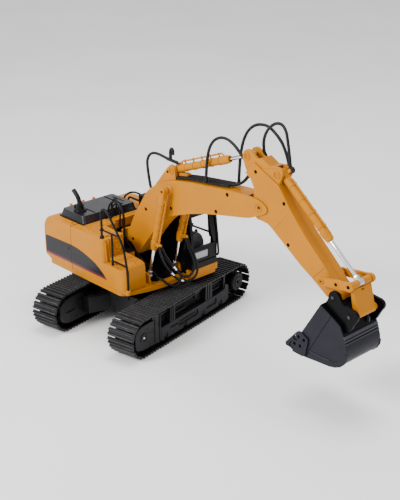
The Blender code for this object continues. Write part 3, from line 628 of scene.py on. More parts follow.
def boom_outline():
    return [(-34, 116.5), (-31.5, 119.6), (-25, 121.6), (-18, 123.2), (-13.5, 127.5), (-7, 141.5), (9, 167),
        (20, 184), (26, 190.4), (33, 196.2), (44, 203.6), (57, 210), (71, 214.8), (88, 218), (108, 221.2),
        (144, 225), (170, 227.6), (195, 229.2), (210, 229.8), (222, 229.2), (230, 227.3), (236.5, 223.8),
        (239.3, 219.6), (238.2, 216), (234, 212.8), (222, 207), (212, 202.8), (204, 200.6), (196, 198.9),
        (161, 192.3), (130, 185.5), (107, 179), (85, 171.4), (73, 167), (63.5, 162), (50, 151), (37, 137),
        (1.2, 91.5), (-4, 99), (-11, 104.8), (-19, 107.2), (-29, 108.2), (-33.4, 111.6)]


BOOM_SCREWS = [(20.7, 162.4), (70.9, 177.0), (154.2, 195.0), (173.5, 222.0), (-8.2, 111.2)]


def build_boom():
    for label, side in (("left", 1), ("right", -1)):
        face = side * BOOM_HALF
        holes = screw_holes(BOOM_SCREWS, face, side)
        slot = disc("y", BOOM_TIP, 21.5, *both(side, -5, 11.3), 64)
        tip_bore = disc("y", BOOM_TIP, 5.2, face + side, face - side * 1.6, 32)
        shell = combined(slab(boom_outline(), side, SPLIT, BOOM_HALF), cuts=[slot, tip_bore, *holes])
        add(f"boom_side_{label}", shell, "body_yellow", "boom", 0.7, HOUSE, [f"boom_{label}"])
        screws(f"boom_screws_{label}", BOOM_SCREWS, face, side, "boom")
        plate = rounded([(27, 189), (62, 231.0), (68, 235.5), (74.2, 231), (76.6, 214), (60, 208),
                (46, 198)], [1, 5, 5, 4, 1, 1, 1])
        hole = [(60.8, 223.4)]
        cheek = combined(slab(plate, side, 5.3, 9.0), cuts=screw_holes(hole, side * 9.0, side, 1.9, 2.4))
        add(f"cylinder_cheek_{label}", cheek, "body_yellow", "boom", 0.6)
        screws(f"cheek_screws_{label}", hole, side * 9.0, side, "boom", 1.85)
        add(f"cheek_pin_{label}", pin_face(STICK_TAIL, side * 9.0, side, 4.6), "body_yellow", "boom", 0)
        stub = round_bar("y", LIFT_TOP, 2.2, side * 10, side * 23.0, 28)
        add(f"lift_pin_{label}", stub, "dark_steel_and_hole_shade", "boom", 0)
        boss = turned("y", LIFT_TOP, [(0, side * 12.5), (7.2, side * 12.5), (6.4, side * 14.5),
                (5.2, side * 17.6), (0, side * 17.6)], 36)
        add(f"lift_boss_{label}", boss, "body_yellow", "boom", 0.3)
        cap = turned("y", BOOM_TIP, [(2.3, side * 11.0), (2.3, side * 12.8), (2.9, side * 13.2),
                (4.7, side * 13.2), (4.95, side * 12.6), (4.95, side * 11.0), (2.3, side * 11.0)], 32)
        add(f"tip_cap_{label}", cap, "body_yellow", "boom", 0)
        add(f"tip_screw_{label}", screw_head(BOOM_TIP, side * 11.4, side, 2.2), "dark_steel_and_hole_shade", "boom", 0)
    web = prism([(40, 200), (48, 209), (62, 213.5), (74, 217.5), (76, 215), (60, 205)], "y", -6, 6)
    add("cylinder_saddle", web, "body_yellow", "boom", 0.4)
    pin = round_bar("y", BOOM_TIP, 3.0, -11.2, 11.2, 32)
    add("tip_shaft", pin, "steel", "boom", 0, HOUSE, ["boom_tip_pin"])
    stop = prism(rounded([(77, 219.6), (93, 222.4), (93, 225.8), (88, 226.6), (77, 224.6)], 1.0, 3), "y",
        -3.6, 3.6)
    add("cylinder_rest", stop, "body_yellow", "boom", 0.4)


def build_cylinders():
    for label, side in (("left", 1), ("right", -1)):
        y = side * LIFT_Y
        cylinder_barrel(f"lift_{label}", f"lift_barrel_{label}", LIFT_TOP, LIFT_FOOT, y, 90, 4.7, 4.4,
            f"lift_barrel_{label}", 5, 2.6)
        cylinder_rod(f"lift_rod_{label}", f"lift_rod_{label}", LIFT_TOP, LIFT_FOOT, y, 94, 2.3, 2.9,
            f"lift_rod_{label}")
    cylinder_barrel("stick", "stick_barrel", STICK_TAIL, STICK_EYE, 0, 104, 4.9, 4.6, "stick_barrel", 5,
        3.6)
    cylinder_rod("stick_rod", "stick_rod", STICK_TAIL, STICK_EYE, 0, 121, 2.3, 4.5, "stick_rod")
    cylinder_barrel("curl", "curl_barrel", CURL_TAIL, LEVER_END, 0, 98, 5.2, 4.6, "curl_barrel", 4, 1.5)
    cylinder_rod("curl_rod", "curl_rod", CURL_TAIL, LEVER_END, 0, 128, 2.4, 3.7, "curl_rod")


# ---------------------------------------------------------------- arm


def arm_plate_outline():
    return [(214.9, 271.6), (201.4, 256.6), (206.5, 253.4), (211, 250.2), (214.6, 246.6), (216.8, 241),
        (217.8, 234), (217, 226), (214.8, 218), (215.5, 211), (221, 206.6), (230, 205.4), (236, 204),
        (245, 199.1), (259.5, 189.0), (282, 173.3), (291.5, 166.6), (312, 154.6), (333, 140.3),
        (340, 140.2), (347, 142.8), (352, 146), (354, 150), (352, 154.5), (344.5, 158.6), (335, 169),
        (321.3, 181.6), (297, 203.5), (286, 215.2), (273.2, 229.3), (254, 253.7)]


def arm_core_outline():
    return [(216, 262), (208, 250), (214, 239), (213, 226), (210.8, 216), (214, 206.5), (221, 202.4),
        (230, 202), (238, 201), (250, 194.2), (282, 171.6), (312, 153.2), (333, 141.5), (350, 146),
        (352, 154), (343.8, 160.2), (321.3, 182.3), (297.7, 203.3), (271.9, 230.7), (258.8, 247),
        (254, 254), (257.6, 267), (255.5, 272.8), (249, 273.6), (237, 272.4), (224.6, 279.2), (217, 276)]


ARM_SCREWS = [(217.9, 261.3), (263.5, 233.7), (272.2, 185.1)]
ARM_SEAMS = [[(273.9, 227.8), (273.2, 227.0), (249.6, 198.7), (250.5, 199.3)],
    [(328.8, 174.4), (328.1, 175.0), (311.4, 156.5), (312.1, 155.9)]]


def build_arm():
    for label, side in (("left", 1), ("right", -1)):
        face = side * ARM_HALF
        bore = through(BOOM_TIP, 3.3, 32)
        channel = combined(moved(box(-8, 40, -5.3, 5.3, -7.4, 30), axis_frame(CURL_TAIL, LEVER_END)),
            [moved(box(36, 150, -5.8, 5.8, -12.6, 30), axis_frame(CURL_TAIL, LEVER_END))])
        seams = [prism(line, "y", face + side, face - side * 0.5) for line in ARM_SEAMS]
        plate = combined(slab(arm_plate_outline(), side, 8.6, ARM_HALF),
            cuts=[bore, through(BUCKET_PIVOT, 3.0, 28), *screw_holes(ARM_SCREWS, face, side, 2.4, 1.7),
                *seams])
        add(f"arm_cheek_{label}", plate, "body_yellow", "arm", 0.5, HOUSE, [f"arm_{label}"])
        screws(f"arm_screws_{label}", ARM_SCREWS, face, side, "arm", 2.35, 0.6)
        rod_slot = slab([(180, 255), (201, 255), (214.5, 268.5), (218, 282), (209, 295), (180, 295)], side,
            -5, 5.2)
        core = combined(slab(arm_core_outline(), side, SPLIT, 8.7),
            cuts=[through(BOOM_TIP, 3.3, 32), channel, rod_slot, through(BUCKET_PIVOT, 3.0, 28)])
        add(f"arm_core_{label}", core, "body_yellow", "arm", 0.5)
        lug = rounded([(212, 262), (224, 268), (225.4, 273.4), (216.6, 277.4), (208.4, 283.6), (203, 285.2),
                (197.6, 283.4), (194.2, 278), (194.6, 272.4), (199, 262), (206, 252)],
            [1, 2, 1, 2, 3, 3, 3, 3, 3, 2, 1])
        add(f"rod_lug_{label}", slab(lug, side, 5.2, 8.9), "body_yellow", "arm", 0.6)
        add(f"rod_lug_pin_{label}", pin_face(STICK_EYE, side * 8.9, side, 5.0), "body_yellow", "arm", 0)
        curl = rounded([(222.5, 258), (225.4, 266.8), (254.8, 273.2), (258.6, 271.4), (259, 266),
                (252.6, 252.8), (240, 246)], [1, 1.5, 2.5, 2.5, 2.5, 1, 1])
        add(f"curl_cheek_{label}", slab(curl, side, 5.4, 9.6), "body_yellow", "arm", 0.6)
        add(f"curl_pin_{label}", pin_face((CURL_TAIL[0], CURL_TAIL[1] - 1.2), side * 9.6, side, 5.4),
            "body_yellow", "arm", 0)
        boss = turned("y", LEVER_PIVOT, [(0, side * 10), (6.4, side * 10), (6.2, side * 11.6),
                (4.6, side * 12.0), (4.2, side * 16.6), (0, side * 16.6)], 36)
        add(f"lever_boss_{label}", boss, "body_yellow", "arm", 0.3)
        stub = round_bar("y", LEVER_PIVOT, 2.2, side * 12, side * 20, 24)
        add(f"lever_stub_{label}", stub, "dark_steel_and_hole_shade", "arm", 0)
        tube = turned("y", BUCKET_PIVOT, [(0, side * 0.2), (6.6, side * 0.2), (6.6, side * 16.0),
                (6.0, side * 16.7), (4.3, side * 16.8), (4.3, side * 20.6), (3.9, side * 21),
                (0, side * 21)], 40)
        tube = combined(tube, cuts=[through(BUCKET_PIVOT, 2.7, 28)])
        add(f"bucket_tube_{label}", tube, "body_yellow", "arm", 0.3)
        for name, place in (("stick_eye", STICK_EYE), ("curl_tail", CURL_TAIL)):
            shaft = round_bar("y", place, 2.2, side * 0.2, side * 6, 24)
            add(f"{name}_shaft_{label}", shaft, "steel", "arm", 0)


# ---------------------------------------------------------------- linkage and bucket


def build_linkage():
    low, high = Vector(LEVER_PIVOT), Vector(LEVER_END)
    along = (high - low).normalized()
    off = Vector((-along.y, along.x))
    middle = low.lerp(high, 0.55)

    def at(base, ahead, side):
        return tuple(base + along * ahead + off * side)

    outline = [at(low, -5.6, -2.6), at(low, -3, -5.2), at(low, 5, -4.4), at(middle, 0, -5.4),
        at(high, -8, -4.6), at(high, 2, -5.6), at(high, 5.8, -2.4), at(high, 5.8, 2.4), at(high, 2, 5.6),
        at(high, -8, 4.6), at(middle, 0, 5.2), at(low, 5, 4.4), at(low, -3, 5.2), at(low, -5.6, 2.6)]
    for label, side in (("left", 1), ("right", -1)):
        y = side * LEVER_FACE
        centre = tuple(middle)
        plate = combined(slab(rounded(outline, 2.2, 4), side, 17.1, LEVER_FACE),
            cuts=[through(centre, 2.2, 24), through(LEVER_PIVOT, 2.4, 24),
                disc("y", LEVER_END, 2.3, y + side, y - side * 2.0, 24)])
        add(f"lever_plate_{label}", plate, "body_yellow", "lever", 0.5, HOUSE,
            ["lever"] if side > 0 else ())
        rings = []
        for spot, bore, rim in ((centre, 2.2, 4.1), (LEVER_END, 2.3, 4.4)):
            rings.append(turned("y", spot, [(bore, y - side), (rim, y - side), (rim, y + side * 0.1),
                        (rim - 0.2, y + side * 0.35), (bore + 0.4, y + side * 0.35), (bore, y + side * 0.1),
                        (bore, y - side)], 28))
        add(f"lever_rings_{label}", together(rings), "body_yellow", "lever", 0)
        screws(f"lever_screws_{label}", (centre, LEVER_END), y, side, "lever", 2.15, 0.9)
        add(f"lever_pivot_cap_{label}", pin_face(LEVER_PIVOT, y, side, 4.2), "body_yellow", "arm", 0)
    shaft = round_bar("y", LEVER_END, 2.2, -18.6, 18.6, 28)
    add("lever_shaft", shaft, "dark_steel_and_hole_shade", "lever", 0)
    top, end = LEVER_END, LINK_END
    face = rounded([(top[0] - 1.6, top[1] - 3.4), (top[0] + 3.6, top[1] - 3.6),
            (end[0] + 3.9, end[1] + 5.4), (end[0] + 6.4, end[1] + 1.4), (end[0] + 6.1, end[1] - 2.4),
            (end[0] + 3.8, end[1] - 3.6), (end[0] - 0.8, end[1] + 4.4)], [0.5, 1, 2, 1.2, 1, 1, 1], 4)
    slot = box(top[0] - 3, top[0] + 8, -2.6, 2.6, top[1] - 7.6, top[1] - 5.8)
    plate = combined(prism(face, "y", -16.0, 16.0),
        cuts=[disc("y", top, 5.4, -4.2, 4.2, 40), slot, disc("y", end, 2.4, -30, 30, 24)])
    for vert in plate.verts:
        vert.co.y *= 0.93 + 0.08 * (vert.co.z - end[1]) / (top[1] - end[1])
    add("link_block", plate, "body_yellow", "link", 0.6, HOUSE, ["link"])
    eyes = []
    for side in (1, -1):
        for spot, radius, low, high in ((top, 4.4, 4.2, 16.7), (end, 4.6, 10.5, 20.6)):
            eyes.append(combined(turned("y", spot, [(0, side * low), (radius, side * low),
                        (radius, side * (high - 0.5)), (radius - 0.5, side * high), (0, side * high)], 32),
                    cuts=[disc("y", spot, 2.4, -30, 30, 24)]))
        web = [(top[0] - 2.6, top[1] - 3), (top[0] + 2, top[1] - 3), (end[0] + 2, end[1] + 3),
            (end[0] - 3.4, end[1] + 2.4)]
        eyes.append(slab(web, side, 10.8, 14.4))
    add("link_eyes", together(eyes), "body_yellow", "link", 0.3)


def bucket_side_outline():
    return [(340.2, 138.4), (314.8, 94.6), (318.6, 65.8), (345, 67.0), (357, 67.6), (365.5, 69.4),
        (372.5, 72.6), (377.8, 77.4), (381.2, 83.6), (381.9, 90), (380.9, 96.5), (378.2, 103.4),
        (374.4, 112.4), (369.6, 121.6), (356.2, 129.9)]


def build_bucket():
    outer = bucket_side_outline()
    inner = [(337.0, 129.4), (300, 140), (285, 68.0), (345, 69.2), (357, 69.8), (364.6, 71.4), (371, 74.4),
        (375.8, 78.6), (379.0, 84.4), (379.6, 90), (378.6, 96), (376, 102.6), (372.2, 111.6),
        (368.2, 119.6), (356.0, 127.4)]
    hollow = prism(inner, "y", -28.6, 28.6)
    notch = disc("y", BUCKET_PIVOT, 21.8, -13.8, 13.8, 48)
    shell = combined(prism(outer, "y", -30.4, 30.4), cuts=[hollow, notch])
    add("bucket_shell", shell, "bucket_grey", "bucket", 0.8, HOUSE, ["bucket"])
    for label, side in (("left", 1), ("right", -1)):
        strip = [(340.6, 138.9), (314.2, 94.0), (318.2, 65.2), (323.4, 65.2), (322.6, 68.4), (356.4, 130.4)]
        add(f"bucket_strip_{label}", slab(strip, side, 29.6, 31.2), "bucket_grey", "bucket", 0.35)
        rim = [(323.4, 65.2), (345, 66.4), (357.2, 67.0), (366, 68.8), (373.2, 72.2), (378.4, 77.0),
            (382, 83.4), (382.5, 90), (376.8, 90), (376.2, 85), (373.4, 80.8), (368.6, 77.2), (363, 75.4),
            (356.4, 74.6), (327.4, 73.6)]
        add(f"bucket_rim_{label}", slab(rim, side, 29.6, 31.0), "bucket_grey", "bucket", 0.35)
        ear = rounded([(335.8, 135.4), (343.6, 141.6), (346.6, 146.4), (346.8, 152.4), (350.2, 157.6),
                (356.4, 158.6), (361.4, 155.4), (364.8, 149.6), (369.6, 145.0), (377.4, 144.0),
                (384.4, 143.4), (389.2, 140.2), (389.4, 134.4), (385.2, 128.6), (379.8, 117.6),
                (374.8, 113.4), (366.8, 119.2), (350, 126)],
            [1, 3, 3, 3, 4, 4, 3, 4, 3, 4, 4, 3, 3, 4, 4, 2, 2, 2])
        add(f"bucket_ear_{label}", slab(ear, side, 21.5, 25.6), "gloss_black", "bucket", 0.6)
        bolts = []
        for centre, low in ((BUCKET_PIVOT, 14.6), (LINK_END, 21.2)):
            bolts.append(turned("y", centre, [(0, side * 26.5), (1.5, side * 26.5), (2.2, side * 26.0),
                        (2.2, side * 25.2), (0, side * 25.2)], 6))
            bolts.append(disc("y", centre, 2.2, side * low, side * 25.4, 24))
            washer = turned("y", centre, [(0, side * 25.8), (4.0, side * 25.8), (4.6, side * 25.5),
                    (4.6, side * 24.8), (0, side * 24.8)], 32)
            add(f"bucket_washer_{label}_{int(low)}", washer, "gloss_black", "bucket", 0)
        add(f"bucket_bolts_{label}", together(bolts), "edge_grey", "bucket", 0.15, HOUSE, (), 2)
        build_cutter(label, side)
        # A thin lighter strip along the rim's upper edge: a painted highlight.
        ledge = [(327.2, 75.6), (344, 74.7), (356.6, 75.0), (356.6, 74.3), (344, 74.0), (327.2, 74.9)]
        add(f"bucket_rim_highlight_{label}", slab(ledge, side, 30.0, 31.2), "edge_grey", "bucket", 0)
    # Raised strips across the bucket's back in a lighter grey: painted highlights on the ridges.
    steps = []
    for high, low, proud in ((110.8, 107.5, 0.9), (106.2, 104.5, 0.8), (102.6, 101.6, 0.6)):
        upper, lower = back_x(high), back_x(low)
        steps.append(prism([(upper - 1, high), (upper + proud, high + 0.2), (lower + proud, low),
                    (lower - 1, low - 0.3)], "y", -30.2, 30.2))
    add("bucket_steps", together(steps), "edge_grey", "bucket", 0.2)
    # Thin black strips laid on the back between the ridges: painted shade standing in for grooves.
    grooves = []
    for high, low in ((107.2, 106.3), (104.3, 102.8)):
        upper, lower = back_x(high), back_x(low)
        grooves.append(prism([(upper - 1, high), (upper + 0.15, high), (lower + 0.15, low),
                    (lower - 1, low)], "y", -30.2, 30.2))
    band = [(340.6, 139.4), (356.3, 131.0), (370.1, 122.6), (back_x(111.2) + 0.5, 111.2),
        (back_x(111.2) - 0.8, 110.8), (369.2, 121.6), (356.0, 129.8), (340.2, 138.2)]
    notch = disc("y", BUCKET_PIVOT, 21.9, -13.8, 13.8, 48)
    add("bucket_top_band", together([combined(prism(band, "y", -30.2, 30.2), cuts=[notch]), *grooves]),
        "gloss_black", "bucket", 0.1)
    gussets = []
    for y in (-18.6, 14.2):
        gussets.append(prism([(373.6, 124.0), (376.6, 120.6), (376.2, 115.2), (373.0, 115.2)], "y", y - 0.9,
                y + 0.9))
    add("bucket_gussets", together(gussets), "edge_grey", "bucket", 0.2)
    lip = prism([(318.6, 65.5), (318.6, 69.6), (311, 70.6), (297, 72.8), (294.6, 71.4), (304.5, 66.8)], "y",
        -31.8, 31.8)
    add("bucket_lip", lip, "bucket_grey", "bucket", 0.3, HOUSE, ["cutting_edge"])


def back_x(z):
    """Where the bucket's back meets this height."""
    x0, z0, x1, z1 = 378.2, 103.4, 374.4, 112.4
    if z < z0:
        x0, z0, x1, z1 = 380.9, 96.5, 378.2, 103.4
    return x0 + (x1 - x0) * (z - z0) / (z1 - z0)


def build_cutter(label, side):
    """The side cutter: a plate with four square holes and two hooked slots on the bucket's side."""
    plate = rounded([(310.6, 95.8), (292.6, 74.8), (293.4, 71.2), (303.4, 70.2), (304.2, 66.8),
            (320.0, 65.8), (323.6, 69.0), (327.0, 90.0), (316.6, 95.4)],
        [2.5, 1.5, 1.5, 0.3, 1, 2, 2, 2, 1.5], 4)
    face = side * 33.2
    cuts = []
    for x, z in ((312.6, 88.8), (320.6, 87.4), (306.8, 78.0), (315.3, 77.8)):
        cuts.append(box(x - 1.7, x + 1.7, *sorted((face + side, face - side * 3)), z - 1.9, z + 1.9))
    for x, z in ((307.4, 87.2), (301.4, 76.2)):
        hook = [(x + 1.4, z + 3.6), (x - 0.6, z + 2.6), (x - 3.0, z - 2.4), (x - 2.2, z - 3.8),
            (x + 3.0, z - 4.4), (x + 3.2, z - 2.8), (x - 1.0, z - 2.0), (x + 0.2, z + 1.6)]
        cuts.append(prism(hook, "y", *sorted((face + side, face - side * 3))))
    plate = combined(slab(plate, side, 30.9, 33.2), cuts=cuts)
    add(f"side_cutter_{label}", plate, "bucket_grey", "bucket", 0.3)
    # A black sheet behind the plate, seen only through its holes and slots: painted shade in the holes.
    hole_shade_sheet = slab([(309, 91), (297, 76), (305, 72), (319, 70), (323, 88)], side, 30.5, 31.2)
    add(f"side_cutter_hole_shade_{label}", hole_shade_sheet, "gloss_black", "bucket", 0)


# ---------------------------------------------------------------- house


def edges_at_one_y(bm, chosen):
    """The edges whose two ends share a y, where chosen accepts the x of both."""
    return [e for e in bm.edges
            if all(chosen(v.co.x) for v in e.verts) and abs(e.verts[0].co.y - e.verts[1].co.y) < 1]


def plate_on_side(outline, depth=0.5, side=-1, face=FLANK_Y):
    """A thin piece lying on the house's flank."""
    return prism(outline, "y", *sorted((side * (face - 0.3), side * (face + depth))))


def build_body():
    rear = [(-67.1, 65.3), (-124, 65.3), (-129.5, 67.5), (-133, 72.5), (-133.4, 92), (-133, 112),
        (-132, 117.5), (-130, 121.8), (-126.5, 125.8), (-122, 128.6), (-116.5, 130), (-67.1, 130)]
    block = prism(rear, "y", -75, 75)
    corners = edges_at_one_y(block, lambda x: x < -80)
    bmesh.ops.bevel(block, geom=corners, offset=6.0, segments=6, affect="EDGES", profile=0.5)
    grooves = [box(-127.6, -126.9, -76, -74.6, 66, 118), box(-127.6, -126.9, 74.6, 76, 66, 118),
        box(-134, -133.0, -60, 60, 88, 88.8)]
    add("counterweight_shell", combined(block, cuts=grooves), "body_yellow", "house", 0.8, HOUSE,
        ["counterweight"])

    flank = rounded([(-66.5, -75), (4.9, -75), (4.9, -20.5), (-41, -20.5), (-41, 75), (-66.5, 75)],
        [0, 7, 2, 2, 4, 0], 8)
    side = prism(flank, "z", 65.3, 130)
    top = [e for e in side.edges if all(v.co.z > 129 and v.co.x > -66 and v.co.y < -66 for v in e.verts)]
    bmesh.ops.bevel(side, geom=top, offset=2.0, segments=4, affect="EDGES", profile=0.5)
    recess = prism([(-34, -38.6), (0, -41.6), (12, -41.6), (12, -10), (-34, -10)], "z", 99, 140)
    add("compartment", combined(side, cuts=[recess]), "body_yellow", "house", 0.4, HOUSE, ["side_house"])
    add("bay_floor", box(-33.6, 4.6, -41, -20.8, 98.8, 100.2), "satin_black", "house", 0)

    tread = prism(rounded([(-58, -57), (-58, -24), (-37, -24), (-37, -43), (-6, -46), (-6, -66),
                (-38, -66)], 3, 3), "z", 129.6, 130.7)
    add("roof_tread", tread, "tread_yellow", "house", 0.3)
    riser = rounded([(-1, 128), (-1, 131.6), (7.4, 132.2), (8.2, 98.5), (3.5, 98.5), (3.5, 128)],
        [0, 1, 2.4, 0.5, 0, 0], 5)
    add("step_riser", prism(riser, "y", -58.6, -42.2), "tread_yellow", "house", 0.8)
    fin = prism([(-18, -63), (-2.5, -64), (-1.5, -59), (-15, -58)], "z", 129.5, 131.6)
    add("post_pad", fin, "body_yellow", "house", 0.5)

    add("front_panel", box(4.2, 6.0, -64.0, -44.0, 97.5, 130), "body_yellow", "house", 0.5)
    strips = [prism([(-70.4, 97), (-68.4, 97), (-71.4, 126), (-72.4, 126)], "x", 4.4, 6.4),
        prism([(-66.4, 97), (-64.6, 97), (-66.4, 128), (-67.6, 128)], "x", 4.4, 7.2)]
    add("front_panel_ribs", together(strips), "body_yellow", "house", 0.4)

    box_plan = rounded([(-2, -75.05), (38.5, -75.05), (46, -70), (46, -66), (-2, -66)], [0, 6, 5, 1, 0], 5)
    cover = prism(box_plan, "z", 65.3, 97)
    add("toolbox_shell", cover, "body_yellow", "house", 1.1, HOUSE, ["toolbox"])
    lid = prism(rounded([(7, -73.6), (37, -73.6), (43.5, -69.6), (43.5, -67), (7, -67)],
            [1, 5, 4, 0.5, 0.5], 4), "z", 96.4, 97.6)
    add("toolbox_tread", lid, "tread_yellow", "house", 0.3)

    step = [(5, 65.3), (45.6, 65.3), (47, 68), (46.3, 94), (44.8, 98.6), (38, 101.2), (5, 103)]
    tall = prism(step, "y", -65.6, -37.2)
    edges = edges_at_one_y(tall, lambda x: x > 40)
    bmesh.ops.bevel(tall, geom=edges, offset=1.0, segments=3, affect="EDGES", profile=0.5)
    add("step_shell", tall, "body_yellow", "house", 0.4, HOUSE, ["step_box"])
    ledge = prism([(8, 102.5), (38, 100.7), (43.6, 98.6), (43.6, 99.3), (38, 101.7), (8, 103.6)], "y",
        -63.5, -39.5)
    add("step_tread", ledge, "tread_yellow", "house", 0.3)

    floor_plan = rounded([(-124, -68), (-118, -74.8), (37, -74.8), (42.5, -70), (46.5, -62), (51, -46),
            (54.5, -30), (56.5, -10), (56.5, 10), (55, 24.5), (63, 24.5), (66.2, 28), (66.2, 73), (62, 77),
            (-112, 75), (-124, 66)], [6, 6, 4, 4, 4, 8, 8, 8, 8, 2, 2, 3, 3, 3, 6, 6], 4)
    base = combined(prism(floor_plan, "z", 59.8, 65.2),
        [box(57, 66.0, 26, 77, 64, 73.2), box(-36, 57, 74, 77.4, 64, 73.2)],
        [box(65.6, 67, 63.5, 72.5, 68.6, 70.0), box(65.6, 67, 37.5, 40.2, 68.0, 71.0)])
    add("floor_plate", base, "body_yellow", "house", 0.8, HOUSE, ["deck"])

    lugs = []
    for y in (-24, -2, 17):
        lugs.append(turned("z", (-133.2, y), [(0, 124), (2.4, 124), (2.4, 131.2), (1.8, 132.4), (0, 132.4)],
                20))
    lugs.append(prism(rounded([(-84.5, -68.5), (-72.5, -68.5), (-72.5, -65.5), (-84.5, -65.5)], 1.2, 3),
            "z", 129.6, 131.6))
    add("roof_lugs", together(lugs), "body_yellow", "house", 0.3)
    hinges = [box(-66.9, -66.4, -75.2, -60, 128.5, 130.3)]
    add("seam_strip", together(hinges), "satin_black", "house", 0)
    boss = together([turned("z", (50.2, -71), [(0, 64.5), (3.6, 64.5), (3.6, 70), (3.0, 71.2), (0, 71.2)],
                28), box(40, 50.2, -73.6, -68.4, 64.6, 67.2)])
    add("rail_foot", boss, "body_yellow", "house", 0.4)
    add("rail_foot_pin", disc("z", (50.2, -71), 1.5, 57.5, 64.8, 20), "satin_black", "house", 0.2)


def build_decal():
    """A dark panel with a red line under it, following the flank's curved top edge."""
    for label, side in (("right", -1), ("left", 1)):
        top = [(-126.6, 100.8), (-96, 101.8), (-67.3, 102.4)]
        panel = [(-126.8, 77.6), *top, (-67.3, 77.6)]
        front = [(-66.3, 77.6), (-66.3, 102.4), (-52, 101.2), (-40, 98.9), (-28, 95.8), (-14, 91.2),
            (-4, 86), (3.6, 80.8), (7, 77.6)]
        add(f"flank_panel_{label}", together([plate_on_side(panel, 0.45, side),
                    plate_on_side(front, 0.45, side)]), "decal_grey", "house", 0.1)
        lines = [[(-126.8, 74.4), (-126.8, 77.6), (-67.3, 77.6), (-67.3, 74.4)],
            [(-66.3, 74.4), (-66.3, 77.6), (7, 77.6), (10.4, 74.4)]]
        add(f"flank_line_{label}", together([plate_on_side(line, 0.5, side) for line in lines]),
            "decal_red", "house", 0.1)
        latch = turned("y", (-73, 95), [(0, side * 74.8), (1.7, side * 74.8), (1.7, side * 75.7),
                (1.2, side * 75.9), (0, side * 75.9)], 20)
        add(f"flank_latch_{label}", latch, "satin_black", "house", 0)


def build_hood():
    low = [(-110.5, -60), (-55.2, -60), (-55.2, 34), (-110.5, 34)]
    high = [(-107.5, -57.2), (-60.6, -57.2), (-57.5, 35 - 3), (-107.5, 32)]
    bm = bmesh.new()
    lower = [bm.verts.new((x, y, 130.2)) for x, y in low]
    upper = [bm.verts.new((x, y, 141)) for x, y in high]
    bm.faces.new(lower)
    bm.faces.new(upper)
    for i in range(4):
        j = (i + 1) % 4
        bm.faces.new((lower[i], lower[j], upper[j], upper[i]))
    facing_out(bm)
    uprights = [e for e in bm.edges if abs(e.verts[0].co.z - e.verts[1].co.z) > 5]
    bmesh.ops.bevel(bm, geom=uprights, offset=3.5, segments=5, affect="EDGES", profile=0.5)
    cuts = [box(-106.5, -62, -36.6, -34.2, 139.4, 142), box(-106.5, -62, 13.4, 16.0, 139.4, 142),
        box(-96, -70, 22, 24.4, 139.6, 142)]
    add("hood_shell", combined(bm, cuts=cuts), "hood_black", "house", 0.9, HOUSE, ["hood"])
    add("hood_skirt", prism(rounded([(-112, -61.5), (-54, -61.5), (-54, 35), (-112, 35)], 4, 5), "z", 129.7,
            131.2), "satin_black", "house", 0.4)
    path = smooth_path([(-83, -45, 140.5), (-83, -45, 145), (-83.2, -45, 150), (-84.6, -45, 155),
            (-87.6, -45, 160), (-92, -45, 164.2), (-96.5, -45, 167.6)], 5)
    radii = [6.8 - 3.6 * min(1.0, i / 14) for i in range(len(path))]
    bore = swept([(-93.2, -45, 164.9), (-102, -45, 172.3)], 2.0, 20)
    pipe = combined(swept(path, radii, 24), cuts=[bore])
    add("exhaust_pipe", pipe, "satin_black", "house", 0.3, HOUSE, ["exhaust"])
    rings = [turned("z", (-83, -45), [(0, 140.6), (9.2, 140.6), (9.2, 142), (8.4, 143.4), (0, 143.4)], 32),
        round_bar("z", (-83, -45), 5.8, 148, 149.6, 28)]
    add("exhaust_rings", together(rings), "satin_black", "house", 0.3)
    stub = turned("z", (-95, -43.5), [(0, 140.5), (2.4, 140.5), (2.4, 145.4), (1.8, 146.4), (0, 146.4)], 20)
    add("filler_stub", stub, "satin_black", "house", 0.2)


def build_handrail():
    y = -71.0
    rail = smooth_path([(-2, y, 130.2), (-2, y, 150), (-2, y, 165.5), (0.6, y, 170.6), (6, y, 172),
            (12, y, 168.2), (18.9, y, 160.8), (29.3, y, 147.8), (36.7, y, 137.9), (42.5, y, 127),
            (46.5, y, 111.5), (49.3, y, 97), (50.1, y, 84), (50.2, y, 70.5)], 8)
    add("handrail_main", swept(rail, 1.55, 16), "satin_black", "house", 0, HOUSE, ["handrail"])
    bars = [swept([(-2, y, 142), (34, y, 142)], 1.25, 14), swept([(19, y, 142), (19, y, 103.6)], 1.4, 14),
        swept([(19, y, 104), (48, y, 104)], 1.3, 14), swept([(19, y, 104), (19, y, 97.2)], 1.8, 14)]
    add("handrail_bars", together(bars), "satin_black", "house", 0)
    feet = [turned("z", (-2, y), [(0, 129.6), (3.0, 129.6), (3.0, 132.6), (2.0, 134.0), (0, 134.0)], 24),
        round_bar("y", (-2, 142), 1.9, y - 2.2, y + 2.2, 20)]
    add("handrail_feet", together(feet), "satin_black", "house", 0.2)


